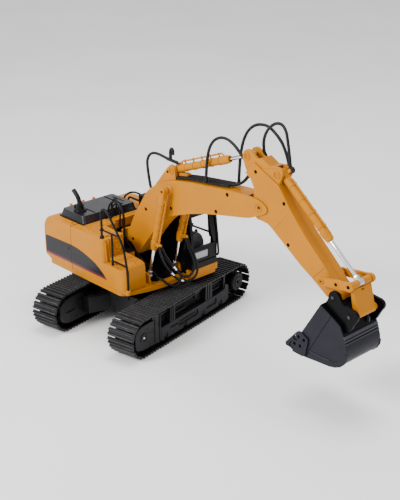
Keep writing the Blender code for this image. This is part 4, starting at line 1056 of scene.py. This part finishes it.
def build_bracket():
    """Cheek plates for the boom's foot, with stiffening ribs."""
    outline = rounded([(-38, 65.4), (-35, 98), (-29, 108.5), (-21.5, 112.2), (-14.5, 105.4), (-4.6, 98.4),
            (7.3, 94.3), (28, 84), (46, 74), (46, 65.4)], [2, 6, 4, 3, 4, 4, 4, 6, 3, 2], 5)
    rib = [(-31, 70), (-29, 97), (-23, 104), (-14, 98), (-4, 91), (8, 87), (26, 78), (34, 73), (34, 70)]
    for label, side in (("left", 1), ("right", -1)):
        plate = combined(slab(outline, side, 14.6, 18.6), cuts=[slab(rib, side, 17.6, 20)])
        add(f"bracket_plate_{label}", plate, "satin_black", "house", 0.5, HOUSE,
            ["boom_bracket"] if side > 0 else ())
        diagonal = slab([(-22, 70), (-19, 70), (-8, 93), (-11, 95.4)], side, 17.4, 18.6)
        diagonal2 = slab([(8, 70), (11, 70), (20, 80.5), (17, 82)], side, 17.4, 18.6)
        add(f"bracket_ribs_{label}", together([diagonal, diagonal2]), "satin_black", "house", 0.3)
        ear = rounded([(28, 65.2), (31, 78.6), (36.4, 79.6), (41.8, 78.6), (45, 65.2)], [0.5, 3, 4, 3, 0.5],
            5)
        add(f"lift_ear_{label}", slab(ear, side, 26.6, 29.0), "body_yellow", "house", 0.4)
        pin = round_bar("y", LIFT_FOOT, 2.0, side * 17.6, side * 29.6, 24)
        add(f"lift_foot_pin_{label}", pin, "steel", "house", 0)
    shaft = round_bar("y", BOOM_FOOT, 3.2, -12.7, 12.7, 32)
    add("foot_shaft", shaft, "steel", "house", 0)
    tray = combined(box(-40.6, 47, -20, 28.6, 65.2, 67.4), cuts=[box(-36, 40, -12, 12, 66.2, 68)])
    add("foot_tray", tray, "satin_black", "house", 0.4)
    sill = prism(rounded([(44, -24), (54.6, -22), (56, -6), (56, 12), (54, 23), (46, 24.5)], 3, 4), "z",
        65.0, 66.6)
    add("front_sill", sill, "body_yellow", "house", 0.5)
    wall = box(-40.6, -38.6, -20, 28, 65.4, 118)
    add("bay_wall", wall, "satin_black", "house", 0.4)


# ---------------------------------------------------------------- cab


def build_cab():
    profile = [(-38, 65.8), (56.4, 65.8), (56.4, 73.6), (65, 73.6), (65, 112), (64.2, 121), (60.6, 147),
        (58.6, 151), (54.5, 153.6), (-31, 153.6), (-36.5, 151.6), (-38, 147)]
    shell = prism(profile, "y", 29, 77)
    windows = [box(-35.5, 54, 31.2, 74.8, 68, 151), box(50, 62.6, 31.5, 74.5, 76, 111.6),
        box(49.5, 58.3, 31.8, 74.2, 109.4, 148.9),
        prism([(32.4, 105.6), (70.8, 104.4), (66.4, 119), (64.4, 148), (34, 148)], "x", 40, 80),
        prism([(36.0, 86.4), (61.2, 86.4), (61.2, 98.0), (32.8, 98.6)], "x", 40, 80),
        prism([(-28, 80), (53, 80), (54.5, 112), (52, 145), (47, 147), (-24, 147), (-28, 143)], "y", 70,
            90), box(-50, -30, 35, 71, 103, 145)]
    add("cab_shell", combined(shell, cuts=windows), "cab_black", "house", 0.8, HOUSE, ["cab_frame"])
    frames = [combined(prism(rounded([(30.6, 84), (64.2, 84), (64.2, 101), (30.6, 102.4)], 2, 3), "x", 64.6,
                65.8), cuts=[prism([(36.4, 87), (60.8, 87), (60.8, 97.6), (33.6, 98)], "x", 60, 70)]),
        box(64.6, 66.2, 29.5, 76.5, 103.2, 104.8), box(64.4, 66.4, 33.5, 74, 80.6, 82.4)]
    add("cab_front_frames", together(frames), "cab_black", "house", 0.35)
    pane = prism(rounded([(36.2, 86.8), (61.0, 86.8), (61.0, 97.8), (33.4, 98.2)], 1, 3), "x", 62.8, 64.2)
    add("cab_window", pane, "pane", "house", 0.2, HOUSE, ["cab_pane"])
    rail = smooth_path([(65, 77.4, 84), (66.6, 77.8, 86), (67.0, 77.8, 92), (65.8, 77.2, 112),
            (64.2, 76.6, 128), (62.3, 76.0, 146), (60.5, 75, 150)], 6)
    add("cab_rail", swept(rail, 1.5, 14), "cab_black", "house", 0)
    sill_bars = [box(-30, 56, 76.6, 78.4, 76, 78.6), box(-30, 56, 76.6, 78.4, 84, 85.6),
        box(8, 10.6, 76.2, 78.0, 76, 148)]
    add("cab_door_bars", together(sill_bars), "cab_black", "house", 0.3)
    cap = prism(rounded([(-30, 33), (50, 33), (50, 73), (-30, 73)], 5, 5), "z", 153.0, 155.0)
    add("cab_roof", cap, "cab_black", "house", 0.7)
    hatch = together([box(-22, 20, 38, 40, 154.6, 156), box(-22, 20, 66, 68, 154.6, 156),
            box(-22, -20, 38, 68, 154.6, 156)])
    add("cab_roof_frame", hatch, "cab_black", "house", 0.3)
    outer = smooth_path([(-99, 46, 129.8), (-99, 48, 134), (-99.6, 53, 136.6), (-99, 60, 138),
            (-93, 65, 137.8), (-80, 66, 136.4), (-66, 66, 135), (-61, 66, 133.4), (-60, 66, 129.8)], 5)
    inner = smooth_path([(-90, 47, 129.8), (-89.6, 48, 134), (-87, 48.3, 136.4), (-76, 48.6, 136.2),
            (-66, 48.9, 135.8), (-63, 48.9, 134), (-62.6, 48.9, 129.8)], 5)
    add("rear_rails", together([swept(outer, 1.5, 14), swept(inner, 1.5, 14)]), "satin_black", "house", 0)
    add("rear_box", box(-58, -44, 40, 62, 129.8, 150), "satin_black", "house", 1.2)

    base = prism(rounded([(-12, 68.3), (16, 68.3), (17, 82), (14, 85.5), (-12, 84)], 2, 3), "y", 40, 62)
    back = prism(rounded([(-18, 81), (-8.4, 81), (-12.2, 112), (-14.2, 118.6), (-20, 118.6)],
            [2, 2, 3, 3, 3], 4), "y", 41, 61)
    head = prism(rounded([(-20, 118.2), (-14.4, 118.2), (-15, 128), (-20.6, 128)], 2.2, 4), "y", 45, 57)
    add("seat_cushions", together([base, back, head]), "seat_grey", "house", 1.6, HOUSE, ["seat"])
    fittings = []
    dial = prism(rounded([(34, 97), (42, 112), (50, 118.8), (57, 118.4), (63, 113), (67, 104), (67, 97)],
            [3, 3, 5, 5, 4, 3, 2], 5), "x", 44, 52)
    add("console_cowl", moved(dial, Matrix.Translation((-3, 0, 0))), "seat_grey", "house", 1.4, HOUSE,
        ["console"])
    fittings.append(box(38, 50, 36, 66, 68.3, 98))
    for y in (40, 61):
        fittings.append(swept([(44, y, 96), (42, y, 108), (40, y, 114)], 1.2, 12))
        fittings.append(turned("z", (40, y), [(0, 112), (2.2, 112), (2.6, 116), (1.6, 119), (0, 119.6)],
                20))
    add("console_levers", together(fittings), "satin_black", "house", 0.3)
    dash = [swept(smooth_path([(50, 38, 112), (49, 40, 124), (47, 43, 130)], 4), 1.5, 12),
        moved(box(-4.6, 4.6, -1.4, 1.4, -2.4, 2.4),
            Matrix.Translation((46.4, 43.6, 132.4)) @ Matrix.Rotation(0.5, 4, "Z")),
        swept([(54, 31.6, 139), (54, 72.4, 116.5)], 1.5, 12),
        swept([(52, 31.6, 126), (52, 40, 118)], 1.5, 12)]
    add("cab_dash", together(dash), "cab_black", "house", 0)


# ---------------------------------------------------------------- undercarriage


AXLE_Z = 27.75
AXLE_U = 107.5
GAUGE = 66.5
SHOE_HALF = 21.0
SHOES = 51
PITCH_R = 23.41
ROLLER_U = (-62.0, -20.0, 22.0, 63.0)
ROLLER_Z = 13.1
TEETH = 13


def belt_place(run):
    """The matrix of a point on the chain's path: its X axis runs along the belt and Z points outwards."""
    straight = 2 * AXLE_U
    half = math.pi * PITCH_R
    run %= 2 * (straight + half)
    if run < straight:
        u, z, angle = -AXLE_U + run, AXLE_Z + PITCH_R, 0.0
    elif run < straight + half:
        angle = (run - straight) / PITCH_R
        u, z = AXLE_U + PITCH_R * math.sin(angle), AXLE_Z + PITCH_R * math.cos(angle)
    elif run < 2 * straight + half:
        u, z, angle = AXLE_U - (run - straight - half), AXLE_Z - PITCH_R, math.pi
    else:
        angle = math.pi + (run - 2 * straight - half) / PITCH_R
        u, z = -AXLE_U + PITCH_R * math.sin(angle), AXLE_Z + PITCH_R * math.cos(angle)
    ahead = Vector((0, math.cos(angle), -math.sin(angle)))
    out = Vector((0, math.sin(angle), math.cos(angle)))
    place = Matrix((ahead, out.cross(ahead), out)).transposed().to_4x4()
    place.translation = Vector((0, u, z))
    return place


def shoe(pitch):
    """One track shoe, with two grouser ridges and the chain link under it."""
    profile = [(-pitch * 0.475, 1.0), (-pitch * 0.475, 2.6), (-pitch * 0.37, 2.8), (-pitch * 0.33, 4.25),
        (-pitch * 0.2, 4.25), (-pitch * 0.15, 2.7), (pitch * 0.12, 2.6), (pitch * 0.17, 4.25),
        (pitch * 0.3, 4.25), (pitch * 0.34, 2.7), (pitch * 0.46, 2.5), (pitch * 0.46, 1.0)]
    plate = prism(profile, "y", -SHOE_HALF, SHOE_HALF)
    links = [prism(rounded([(-pitch * 0.56, -2.6), (pitch * 0.44, -2.6), (pitch * 0.44, 1.4),
                (-pitch * 0.56, 1.4)], 1.6, 2), "y", *both(s, 6.6, 9.4)) for s in (-1, 1)]
    return together([plate, *links])


def build_tracks():
    length = 2 * (2 * AXLE_U + math.pi * PITCH_R)
    pitch = length / SHOES
    for label, side in (("left", 1), ("right", -1)):
        across = Matrix.Translation((side * GAUGE, 0, 0))
        shoes = []
        for index in range(SHOES):
            shoes.append(moved(shoe(pitch), across @ belt_place((index + 0.5) * pitch)))
        add(f"track_shoes_{label}", together(shoes), "track_black", "undercarriage", 0.28, TRACKS,
            [f"track_{label}"], 2)
        # Thin lighter strips on each shoe's two grouser tips: painted highlights where light catches the
        # ridges.
        edges = []
        for index in range(SHOES):
            for ahead in (-0.265, 0.235):
                strip = box(pitch * (ahead - 0.035), pitch * (ahead + 0.035), -SHOE_HALF + 0.6,
                    SHOE_HALF - 0.6, 4.1, 4.36)
                edges.append(moved(strip, across @ belt_place((index + 0.5) * pitch)))
        add(f"track_ridge_highlights_{label}", together(edges), "ridge_highlight_black", "undercarriage", 0, TRACKS)
        pins = []
        for index in range(SHOES):
            place = across @ belt_place(index * pitch)
            pins.append(moved(disc("y", (0, -0.6), 1.1, -10.5, 10.5, 8), place))
        add(f"track_pins_{label}", together(pins), "track_black", "undercarriage", 0, TRACKS)


def mirrored(bm, side):
    if side < 0:
        moved(bm, Matrix.Scale(-1, 4, (1, 0, 0)))
        bmesh.ops.reverse_faces(bm, faces=bm.faces)
    return bm


def build_frames():
    for label, side in (("left", 1), ("right", -1)):
        rail = rounded([(-72, 8), (75, 8), (83, 11), (83, 33), (75.4, 36), (74.6, 29.6), (43.4, 27.4),
                (43, 50), (28, 51), (27.6, 28), (-41.6, 28), (-42, 49.6), (-52, 51), (-52.4, 28),
                (-72, 28)], [0.5, 0.5, 2, 2, 1, 1, 1, 1, 1, 1, 1, 1, 1, 1, 0.5], 2)
        notches = [disc("x", (u, ROLLER_Z - 1), 4.4, 82.4, 90, 28) for u in ROLLER_U]
        panels = [box(83.6, 86, -34, 10, 15.5, 23.5), box(83.6, 86, 30, 54, 15.5, 23.5),
            box(83.6, 86, -52, -32, 19, 23.5)]
        plate = combined(prism(rail, "x", 78.6, 84.8), cuts=notches + panels)
        add(f"side_rail_{label}", mirrored(plate, side), "frame_grey", "undercarriage", 0.5, TRACKS,
            [f"track_frame_{label}"])
        detail = [box(84.4, 85.4, -70, 73, 26.6, 27.8), box(84.4, 85.2, -33, 9, 13.6, 14.6),
            box(84.4, 85.2, 31, 53, 13.6, 14.6), box(84.2, 85.2, -30, 6, 19.4, 20.2)]
        for u in (-48.6, -45.4, 32.6, 38.2):
            detail.append(box(84.4, 85.6, u - 0.6, u + 0.6, 29, 50))
        add(f"rail_ribs_{label}", mirrored(together(detail), side), "frame_grey", "undercarriage", 0.2,
            TRACKS)
        hubs = []
        for u in ROLLER_U:
            hubs.append(turned("x", (u, ROLLER_Z), [(0, 84.7), (1.4, 84.7), (1.9, 84.2), (3.4, 84.2),
                        (3.9, 83.6), (3.9, 82.0), (0, 82.0)], 28))
            for turn in range(6):
                angle = math.radians(60 * turn)
                hubs.append(disc("x", (u + 2.7 * math.cos(angle), ROLLER_Z + 2.7 * math.sin(angle)), 0.45,
                        84.0, 84.7, 8))
        add(f"roller_hubs_{label}", mirrored(together(hubs), side), "frame_grey", "undercarriage", 0.1,
            TRACKS)
        end = rounded([(-124.5, 15), (-110, 10.6), (-86, 9.4), (-74.5, 8), (-74.5, 30), (-86, 44.6),
                (-106, 45.2), (-119, 43.2), (-125, 36)], [6, 4, 2, 0.5, 1, 3, 6, 8, 8], 5)
        nose = combined(prism(end, "x", 78.8, 84.6), cuts=[disc("x", (-AXLE_U, AXLE_Z), 3.8, 70, 90, 28)])
        add(f"idler_plate_{label}", mirrored(nose, side), "frame_grey", "undercarriage", 0.8, TRACKS)
        hub = [turned("x", (-AXLE_U, AXLE_Z), [(3.4, 84.0), (7.2, 84.0), (7.2, 85.0), (6.6, 85.6),
                    (5.4, 85.6), (4.9, 84.9), (3.4, 84.9), (3.4, 84.0)], 36)]
        for u, z in ((-99, 38), (-90.4, 33.4)):
            hub.append(turned("x", (u, z), [(0, 85.0), (1.1, 85.0), (1.5, 84.6), (1.5, 84.0), (0, 84.0)],
                    16))
        hub += [prism([(-98, 30.2), (-86, 27.2), (-86, 28.2), (-98, 31.4)], "x", 84.2, 85.2),
            box(84.2, 85.4, -85.4, -83.6, 11, 43.4), box(83.8, 85.4, -75.6, -73.4, 11, 45.4)]
        add(f"idler_plate_details_{label}", mirrored(together(hub), side), "frame_grey", "undercarriage",
            0.25, TRACKS)
        window = [box(73.8, 79, -84, 83, 26, 47), box(73.8, 79, -76, 76, 10, 28)]
        add(f"frame_core_{label}", mirrored(together(window), side), "track_black", "undercarriage", 0.5,
            TRACKS)
        ledges = [box(78.4, 81.5, -40, 10, 44.2, 46.0), box(78.4, 81.5, 8.2, 10, 38, 45),
            box(78.4, 81.2, -40, -14, 34, 35.6), box(78.4, 81.5, -71, -54, 44.4, 46),
            box(78.4, 81.5, 45, 74, 44, 45.6), box(78.4, 81.2, 46, 66, 34, 35.4),
            box(78.4, 83.6, 72.6, 75.4, 27, 46.4)]
        add(f"frame_ledges_{label}", mirrored(together(ledges), side), "frame_grey", "undercarriage", 0.25,
            TRACKS)
        inner = rounded([(-123, 17), (-108, 9.6), (-70, 8.6), (70, 8.6), (108, 11), (121, 20), (121, 38),
                (106, 46.4), (-106, 46.4), (-121, 40)], [7, 8, 2, 2, 8, 7, 7, 8, 8, 7], 5)
        slot = prism(rounded([(-112, 25), (-94, 25), (-94, 30), (-112, 30)], 2.4, 4), "x", 40, 49.4)
        holes = [slot, disc("x", (-AXLE_U, AXLE_Z), 2.9, 40, 60, 20),
            disc("x", (AXLE_U, AXLE_Z), 4.4, 40, 60, 20)]
        web = combined(prism(inner, "x", 48, 53.6), [box(50, 79, -70, 74, 22, 42)], holes)
        add(f"inner_plate_{label}", mirrored(web, side), "track_black", "undercarriage", 0.6, TRACKS)
        strips = [box(47.2, 48.4, -60, 60, 15, 16.6), box(47.2, 48.4, -60, 60, 39, 40.6),
            box(47.2, 48.4, -92, -90, 12, 44), prism([(-88, 36), (-64, 30), (-64, 31.6), (-88, 37.6)], "x",
                47.2, 48.4)]
        add(f"inner_plate_ribs_{label}", mirrored(together(strips), side), "track_black", "undercarriage",
            0.25, TRACKS)


def build_wheels():
    for label, side in (("left", 1), ("right", -1)):
        body = f"sprocket_{label}"
        axle = (AXLE_U, AXLE_Z)
        teeth = []
        for tooth in range(TEETH):
            for turn, radius in ((-0.34, 17.4), (-0.16, 20.3), (0.16, 20.3), (0.34, 17.4)):
                angle = 2 * math.pi * (tooth + turn) / TEETH
                teeth.append((AXLE_U + radius * math.cos(angle), AXLE_Z + radius * math.sin(angle)))
        gaps = []
        for tooth in range(TEETH):
            angle = 2 * math.pi * (tooth + 0.5) / TEETH
            gaps.append(disc("x", (AXLE_U + 15.4 * math.cos(angle), AXLE_Z + 15.4 * math.sin(angle)), 1.5,
                    60, 80, 12))
        toothed = combined(prism(teeth, "x", 61.5, 71.5), cuts=gaps)
        add(f"sprocket_teeth_{label}", mirrored(toothed, side), "track_black", body, 0.4, TRACKS,
            [f"sprocket_{label}"])
        hub = turned("x", axle, [(0, 49), (4.1, 49), (4.1, 55), (9.5, 56), (9.5, 74), (12.6, 76),
                (13.2, 79), (13.2, 83.4), (12.4, 84.6), (10.6, 84.9), (10.2, 84.2), (7.4, 84.2),
                (6.8, 85.4), (4.4, 85.4), (3.8, 84.6), (2.3, 84.4), (2.3, 80), (0, 80)], 48)
        add(f"sprocket_hub_{label}", mirrored(hub, side), "frame_grey", body, 0, TRACKS)
        bolts = []
        for turn in range(8):
            angle = math.radians(45 * turn)
            bolts.append(disc("x", (AXLE_U + 8.8 * math.cos(angle), AXLE_Z + 8.8 * math.sin(angle)), 0.9,
                    84.0, 85.0, 8))
        add(f"sprocket_bolts_{label}", mirrored(together(bolts), side), "frame_grey", body, 0.15, TRACKS)
        rim = [(0, 49.6), (3.0, 49.6), (3.0, 54.6), (8, 55.2), (8, 58), (17, 59), (20.2, 59.6), (20.2, 63),
            (17, 64), (17, 69), (20.2, 70), (20.2, 73.4), (17, 74), (8, 75), (8, 77.4), (3.2, 78),
            (3.2, 84.2), (0, 84.2)]
        add(f"idler_wheel_{label}", mirrored(turned("x", (-AXLE_U, AXLE_Z), rim, 56), side), "track_black",
            f"idler_{label}", 0.3, TRACKS, [f"idler_{label}"])
        bolt = together([turned("x", (-AXLE_U, AXLE_Z),
                    [(0, 85.6), (1.1, 85.6), (1.5, 85.2), (1.5, 84.0), (0, 84.0)], 6),
                disc("x", (-AXLE_U, AXLE_Z), 1.5, 83.9, 84.5, 24)])
        add(f"idler_bolt_{label}", mirrored(bolt, side), "bright_rod", f"idler_{label}", 0.15, TRACKS)
        for number, u in enumerate(ROLLER_U, 1):
            profile = [(0, 49.6), (2.0, 49.6), (2.0, 54.6), (6.0, 55), (6.0, 59), (4.4, 60), (4.4, 72.6),
                (6.0, 73.0), (6.0, 73.4), (2.0, 73.6), (2.0, 81.7), (0, 81.7)]
            roller = turned("x", (u, ROLLER_Z), profile, 28)
            add(f"roller_wheel_{label}_{number}", mirrored(roller, side), "track_black",
                f"roller_{label}_{number}", 0.2, TRACKS, [f"roller_{label}_{number}"])
        motor = turned("x", (AXLE_U - 22, AXLE_Z),
            [(0, 21.6), (8, 21.6), (9, 23), (9, 43.6), (3, 44), (3, 47.6), (0, 47.6)], 32)
        add(f"motor_can_{label}", mirrored(motor, side), "steel", "undercarriage", 0.3, TRACKS,
            [f"drive_motor_{label}"])


def build_chassis():
    core = prism(rounded([(-30, -48), (30, -48), (30, 48), (-30, 48)], 8, 5), "z", 14, 43.6)
    arms = []
    for sx in (-1, 1):
        for sy in (-1, 1):
            outline = [(18, 16), (20, 45), (36, 78), (48.2, 78), (48.2, 44), (38, 38), (29, 16)]
            points = [(sx * x, sy * y) for x, y in outline]
            arms.append(prism(points, "z", 16, 39.5))
    add("x_frame", combined(core, arms), "track_black", "undercarriage", 1.8, TRACKS, ["chassis"], 4)
    gussets = []
    for sx in (-1, 1):
        for sy in (-1, 1):
            gussets.append(prism([(sx * 33, sy * 66), (sx * 48, sy * 66), (sx * 48, sy * 76),
                        (sx * 38, sy * 76)], "z", 39, 40.6))
    add("x_frame_pads", together(gussets), "track_black", "undercarriage", 0.4, TRACKS)
    profile = [(0, 43.4), (39, 43.4), (39, 45.6), (37.5, 46), (37.5, 50.4), (39, 51), (39, 53.4), (36, 54),
        (36, 59.6), (0, 59.6)]
    add("slew_bearing", turned("z", (0, 0), profile, 64), "satin_black", "undercarriage", 0.3, TRACKS,
        ["slew_ring"])
    studs = []
    for turn in range(20):
        angle = math.radians(18 * turn)
        studs.append(disc("z", (33 * math.cos(angle), 33 * math.sin(angle)), 1.4, 43.4, 46.6, 8))
    add("bearing_bolts", together(studs), "satin_black", "undercarriage", 0.2, TRACKS)


# ---------------------------------------------------------------- hoses


HOSE_R = 1.55
ARCH_R = 1.8
BRAID = 0.2
BRAID_PITCH = 3.4


def braid(angle, run):
    """The small raised diamonds of a braided sleeve."""
    wave = 2 * math.pi * run / BRAID_PITCH
    return BRAID * (math.cos(4 * angle + wave) * math.cos(4 * angle - wave))


def hose(name, points, body, stands_for=(), blend=None, radius=HOSE_R):
    """A braided hose along a smooth route."""
    path = evenly(smooth_path(points, 24), 0.75)
    tube = swept(path, radius, 16, braid)
    mesh = bpy.data.meshes.new(name)
    moved(tube, HOUSE).to_mesh(mesh)
    tube.free()
    mesh.materials.append(LOOKS["hose_black"])
    mesh.shade_smooth()
    piece = bpy.data.objects.new(name, mesh)
    bpy.context.scene.collection.objects.link(piece)
    if blend:
        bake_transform(piece)
    else:
        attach(piece, body)
    if stands_for:
        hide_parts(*stands_for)
    return piece


def ferrules(name, spots, look, body, radius=2.3, place=HOUSE):
    """Short sleeves, each from one point to another."""
    add(name, together([swept([a, b], radius, 20) for a, b in spots]), look, body, 0.3, place)


def build_hoses():
    arch = [(29, -10.4, 194), (25.5, -10, 205), (20.5, -8, 219), (17.8, -6, 228), (19.6, -4, 235.4),
        (26, -3, 239.6), (35, -2, 240.2), (46, -1.4, 238.6), (56, -1, 237)]
    hose("hose_rear_arch", arch, "boom", ["hose_arch"], None, ARCH_R)
    backs = []
    for y in (4.6, 8.6):
        backs.append(swept(smooth_path([(-17, y, 126), (-13.4, y, 131), (-9, y, 142), (-0.4, y, 156),
                    (7.8, y, 169), (18.6, y, 185.6), (27, y, 193)], 5), 1.5, 14))
    add("boom_back_lines", together(backs), "hose_black", "boom", 0)
    for index, y in enumerate((-7.8, -2.7, 2.7, 7.8)):
        low = 1.2 if abs(y) > 5 else 1.6
        near = y * 0.45
        run = [(77, y, 217.8 + low), (92, y, 220.6 + low), (108, y, 223.0 + low), (126, y, 225.0 + low),
            (144, y, 226.9 + low), (160, y, 228.6 + low), (172, y * 0.9, 230.0 + low),
            (182, y * 0.7, 233.6 + low), (190, near, 239.5 + low), (196, near, 246.4 + low),
            (203, near, 253.0 + low)]
        if abs(y) > 5:
            run = run[:7]
        stands = {0: ["hose_boom_right"], 3: ["hose_boom_left"]}.get(index, [])
        hose(f"hose_boom_run_{index}", run, "boom", stands,
            None if abs(y) > 5 else ("arm", (176, 0, 232), (201, 0, 253)))
    right = [(133, -9.5, 228), (133.6, -9.5, 240), (134.6, -9.2, 255), (138, -9, 271), (145.6, -8.6, 283),
        (156.5, -8, 289), (168, -7.6, 289.2), (179, -7.4, 284.6), (188, -7.2, 277.5), (196, -7.0, 271)]
    hose("hose_rod_feed", right, "boom", ["hose_stick_right"], ("arm", (134, -9, 245), (190, -7, 276)),
        radius=ARCH_R)
    left = [(171, 9.5, 231), (171.6, 9.5, 243), (172.4, 9.5, 257), (174.4, 9.3, 272), (178.6, 9, 287),
        (185.6, 8.6, 299.6), (196, 8.2, 308.6), (208, 8, 312.6), (220, 8, 312), (231, 8, 306),
        (240.6, 8.2, 297.4), (247.6, 8.2, 286), (252.4, 8, 274), (254.6, 7.6, 266)]
    hose("hose_curl_feed", left, "boom", ["hose_stick_left"], ("arm", (172, 9, 250), (222, 8, 311)),
        radius=ARCH_R)
    top = [(217, 8, 274.5), (213.4, 7.7, 283), (213.6, 6.6, 294), (218.6, 4.6, 305), (227.4, 2.4, 315),
        (238.4, 0.4, 321.4), (249, -1.4, 321.8), (256.6, -3.2, 315.4), (261, -4.6, 304.4),
        (264.8, -5.8, 291.5), (268, -6.6, 277.6)]
    hose("hose_arm_arch", top, "arm", ["hose_curl"], None, ARCH_R)
    outer = [(61.5, -26, 123), (62.4, -23.4, 110), (63.2, -17.5, 96), (63.8, -9.5, 84), (64.4, -1, 73.6),
        (65, 8, 66), (67, 18, 62.4), (69.6, 27.4, 64), (71, 33.6, 72), (70, 34.6, 84), (67, 31.6, 98),
        (63.4, 27.6, 111), (61, 25, 123)]
    inner = [(59.4, -21, 124), (60.6, -15.6, 111), (61.6, -8.6, 99), (62.2, -1.4, 88), (63, 5.6, 78),
        (64.4, 13, 70.6), (66.8, 21, 68.6), (68.6, 27.2, 73), (69, 30, 82), (67.4, 28.8, 93),
        (64.4, 25, 107), (61, 21.4, 123)]
    crossing = ("boom", (62, 0, 72), (60, 0, 116))
    hose("hose_lift_outer", outer, "house", ["hose_lift"], crossing)
    hose("hose_lift_inner", inner, "house", (), crossing)
    lower = [(47, -18, 71.5), (54, -20.4, 74.6), (60.4, -18.6, 72), (64.2, -11.6, 65.4), (65.4, -2.6, 61.4),
        (65.2, 6, 62.6), (62.6, 12, 68.4), (57, 13.6, 74), (49, 13, 76)]
    hose("hose_deck_loop", lower, "house", (), None)
    for index, (y, start, end, top_z, foot) in enumerate(((-18.2, -54, -20.6, 157.5, 109),
            (-15.3, -51, -23, 154, 109), (-9.4, -58, -39.6, 157, 116), (-3.6, -56, -39.6, 151, 116))):
        wide = end - start
        loop = [(start, y, 130), (start - 0.3, y, top_z - 17), (start + wide * 0.12, y, top_z - 6),
            (start + wide * 0.36, y, top_z), (start + wide * 0.64, y, top_z),
            (start + wide * 0.88, y, top_z - 7), (end + 0.3, y, top_z - 18), (end, y, 127), (end, y, foot)]
        hose(f"hose_bay_loop_{index}", loop, "house", (), None, 1.15)
    for side in (1, -1):
        spot = (60.6, side * 23.6, 124.6)
        knob = together([turned("x", spot[1:], [(0, 57), (2.1, 57), (2.1, 61.8), (1.6, 62.6), (0, 62.6)],
                    24), box(54, 59.4, side * 23.6 - 1.9, side * 23.6 + 1.9, 121.6, 127.0)])
        label = "left" if side > 0 else "right"
        add(f"lift_knob_{label}", knob, "body_yellow", f"lift_barrel_{label}", 0.3)
    ferrules("hose_couplings", [((63.6, -7.4, 81.6), (64.1, -3.4, 77)),
            ((62.1, -1.8, 88.8), (62.6, 2.4, 82.6)), ((65.1, 8.4, 65.8), (65.7, 12.4, 64.2))], "bright_rod",
        "house", 2.1)
    ferrules("hose_tee", [((52, -1.2, 237.4), (63, -0.8, 236.6)), ((58, -1, 237), (58, -1, 247.6)),
            ((62.5, -0.8, 236.6), (71, -0.6, 236))], "hose_black", "boom", 2.2)
    elbow = smooth_path([(58, -1, 246), (58, -1, 250), (60.5, -1, 252.6), (63, -1, 250), (63, -1, 245)], 5)
    add("hose_tee_elbow", swept(elbow, 1.9, 16), "hose_black", "boom", 0)
    ferrules("stick_couplings", [((133, -9.5, 226.4), (133.4, -9.5, 233)),
            ((171, 9.5, 229.6), (171.4, 9.5, 236))], "hose_black", "boom", 2.1)
    ferrules("arm_couplings", [((217, 8, 273), (215.4, 7.9, 279)), ((252.8, 7.9, 272), (255, 7.5, 265)),
            ((264.6, -6.9, 284.6), (268.6, -6.5, 276.6))], "hose_black", "arm", 2.2)
    banjo = together([turned("y", (269.4, 274.6),
                [(0, -9.6), (3.6, -9.6), (4.0, -9.0), (4.0, -4.4), (0, -4.4)], 28)])
    add("curl_banjo", banjo, "hose_black", "curl_barrel", 0.2)
    cap = turned("y", (269.4, 274.6), [(0, -11.4), (2.2, -11.4), (2.6, -10.8), (2.6, -9.4), (0, -9.4)], 6)
    add("curl_banjo_cap", cap, "body_yellow", "curl_barrel", 0.15)


def dress_hidden_parts():
    """Parts inside the body keep their CAD shape and only take a material."""
    for name, look in (("battery_box", "satin_black"), ("circuit_board", "board_green")):
        for slot in frame["nodes"][name].material_slots:
            slot.material = LOOKS[look]


def main():
    build_stage()
    dress_hidden_parts()
    build_hoses()
    build_body()
    build_decal()
    build_hood()
    build_handrail()
    build_bracket()
    build_cab()
    build_tracks()
    build_frames()
    build_wheels()
    build_chassis()
    build_boom()
    build_cylinders()
    build_arm()
    build_linkage()
    build_bucket()


main()
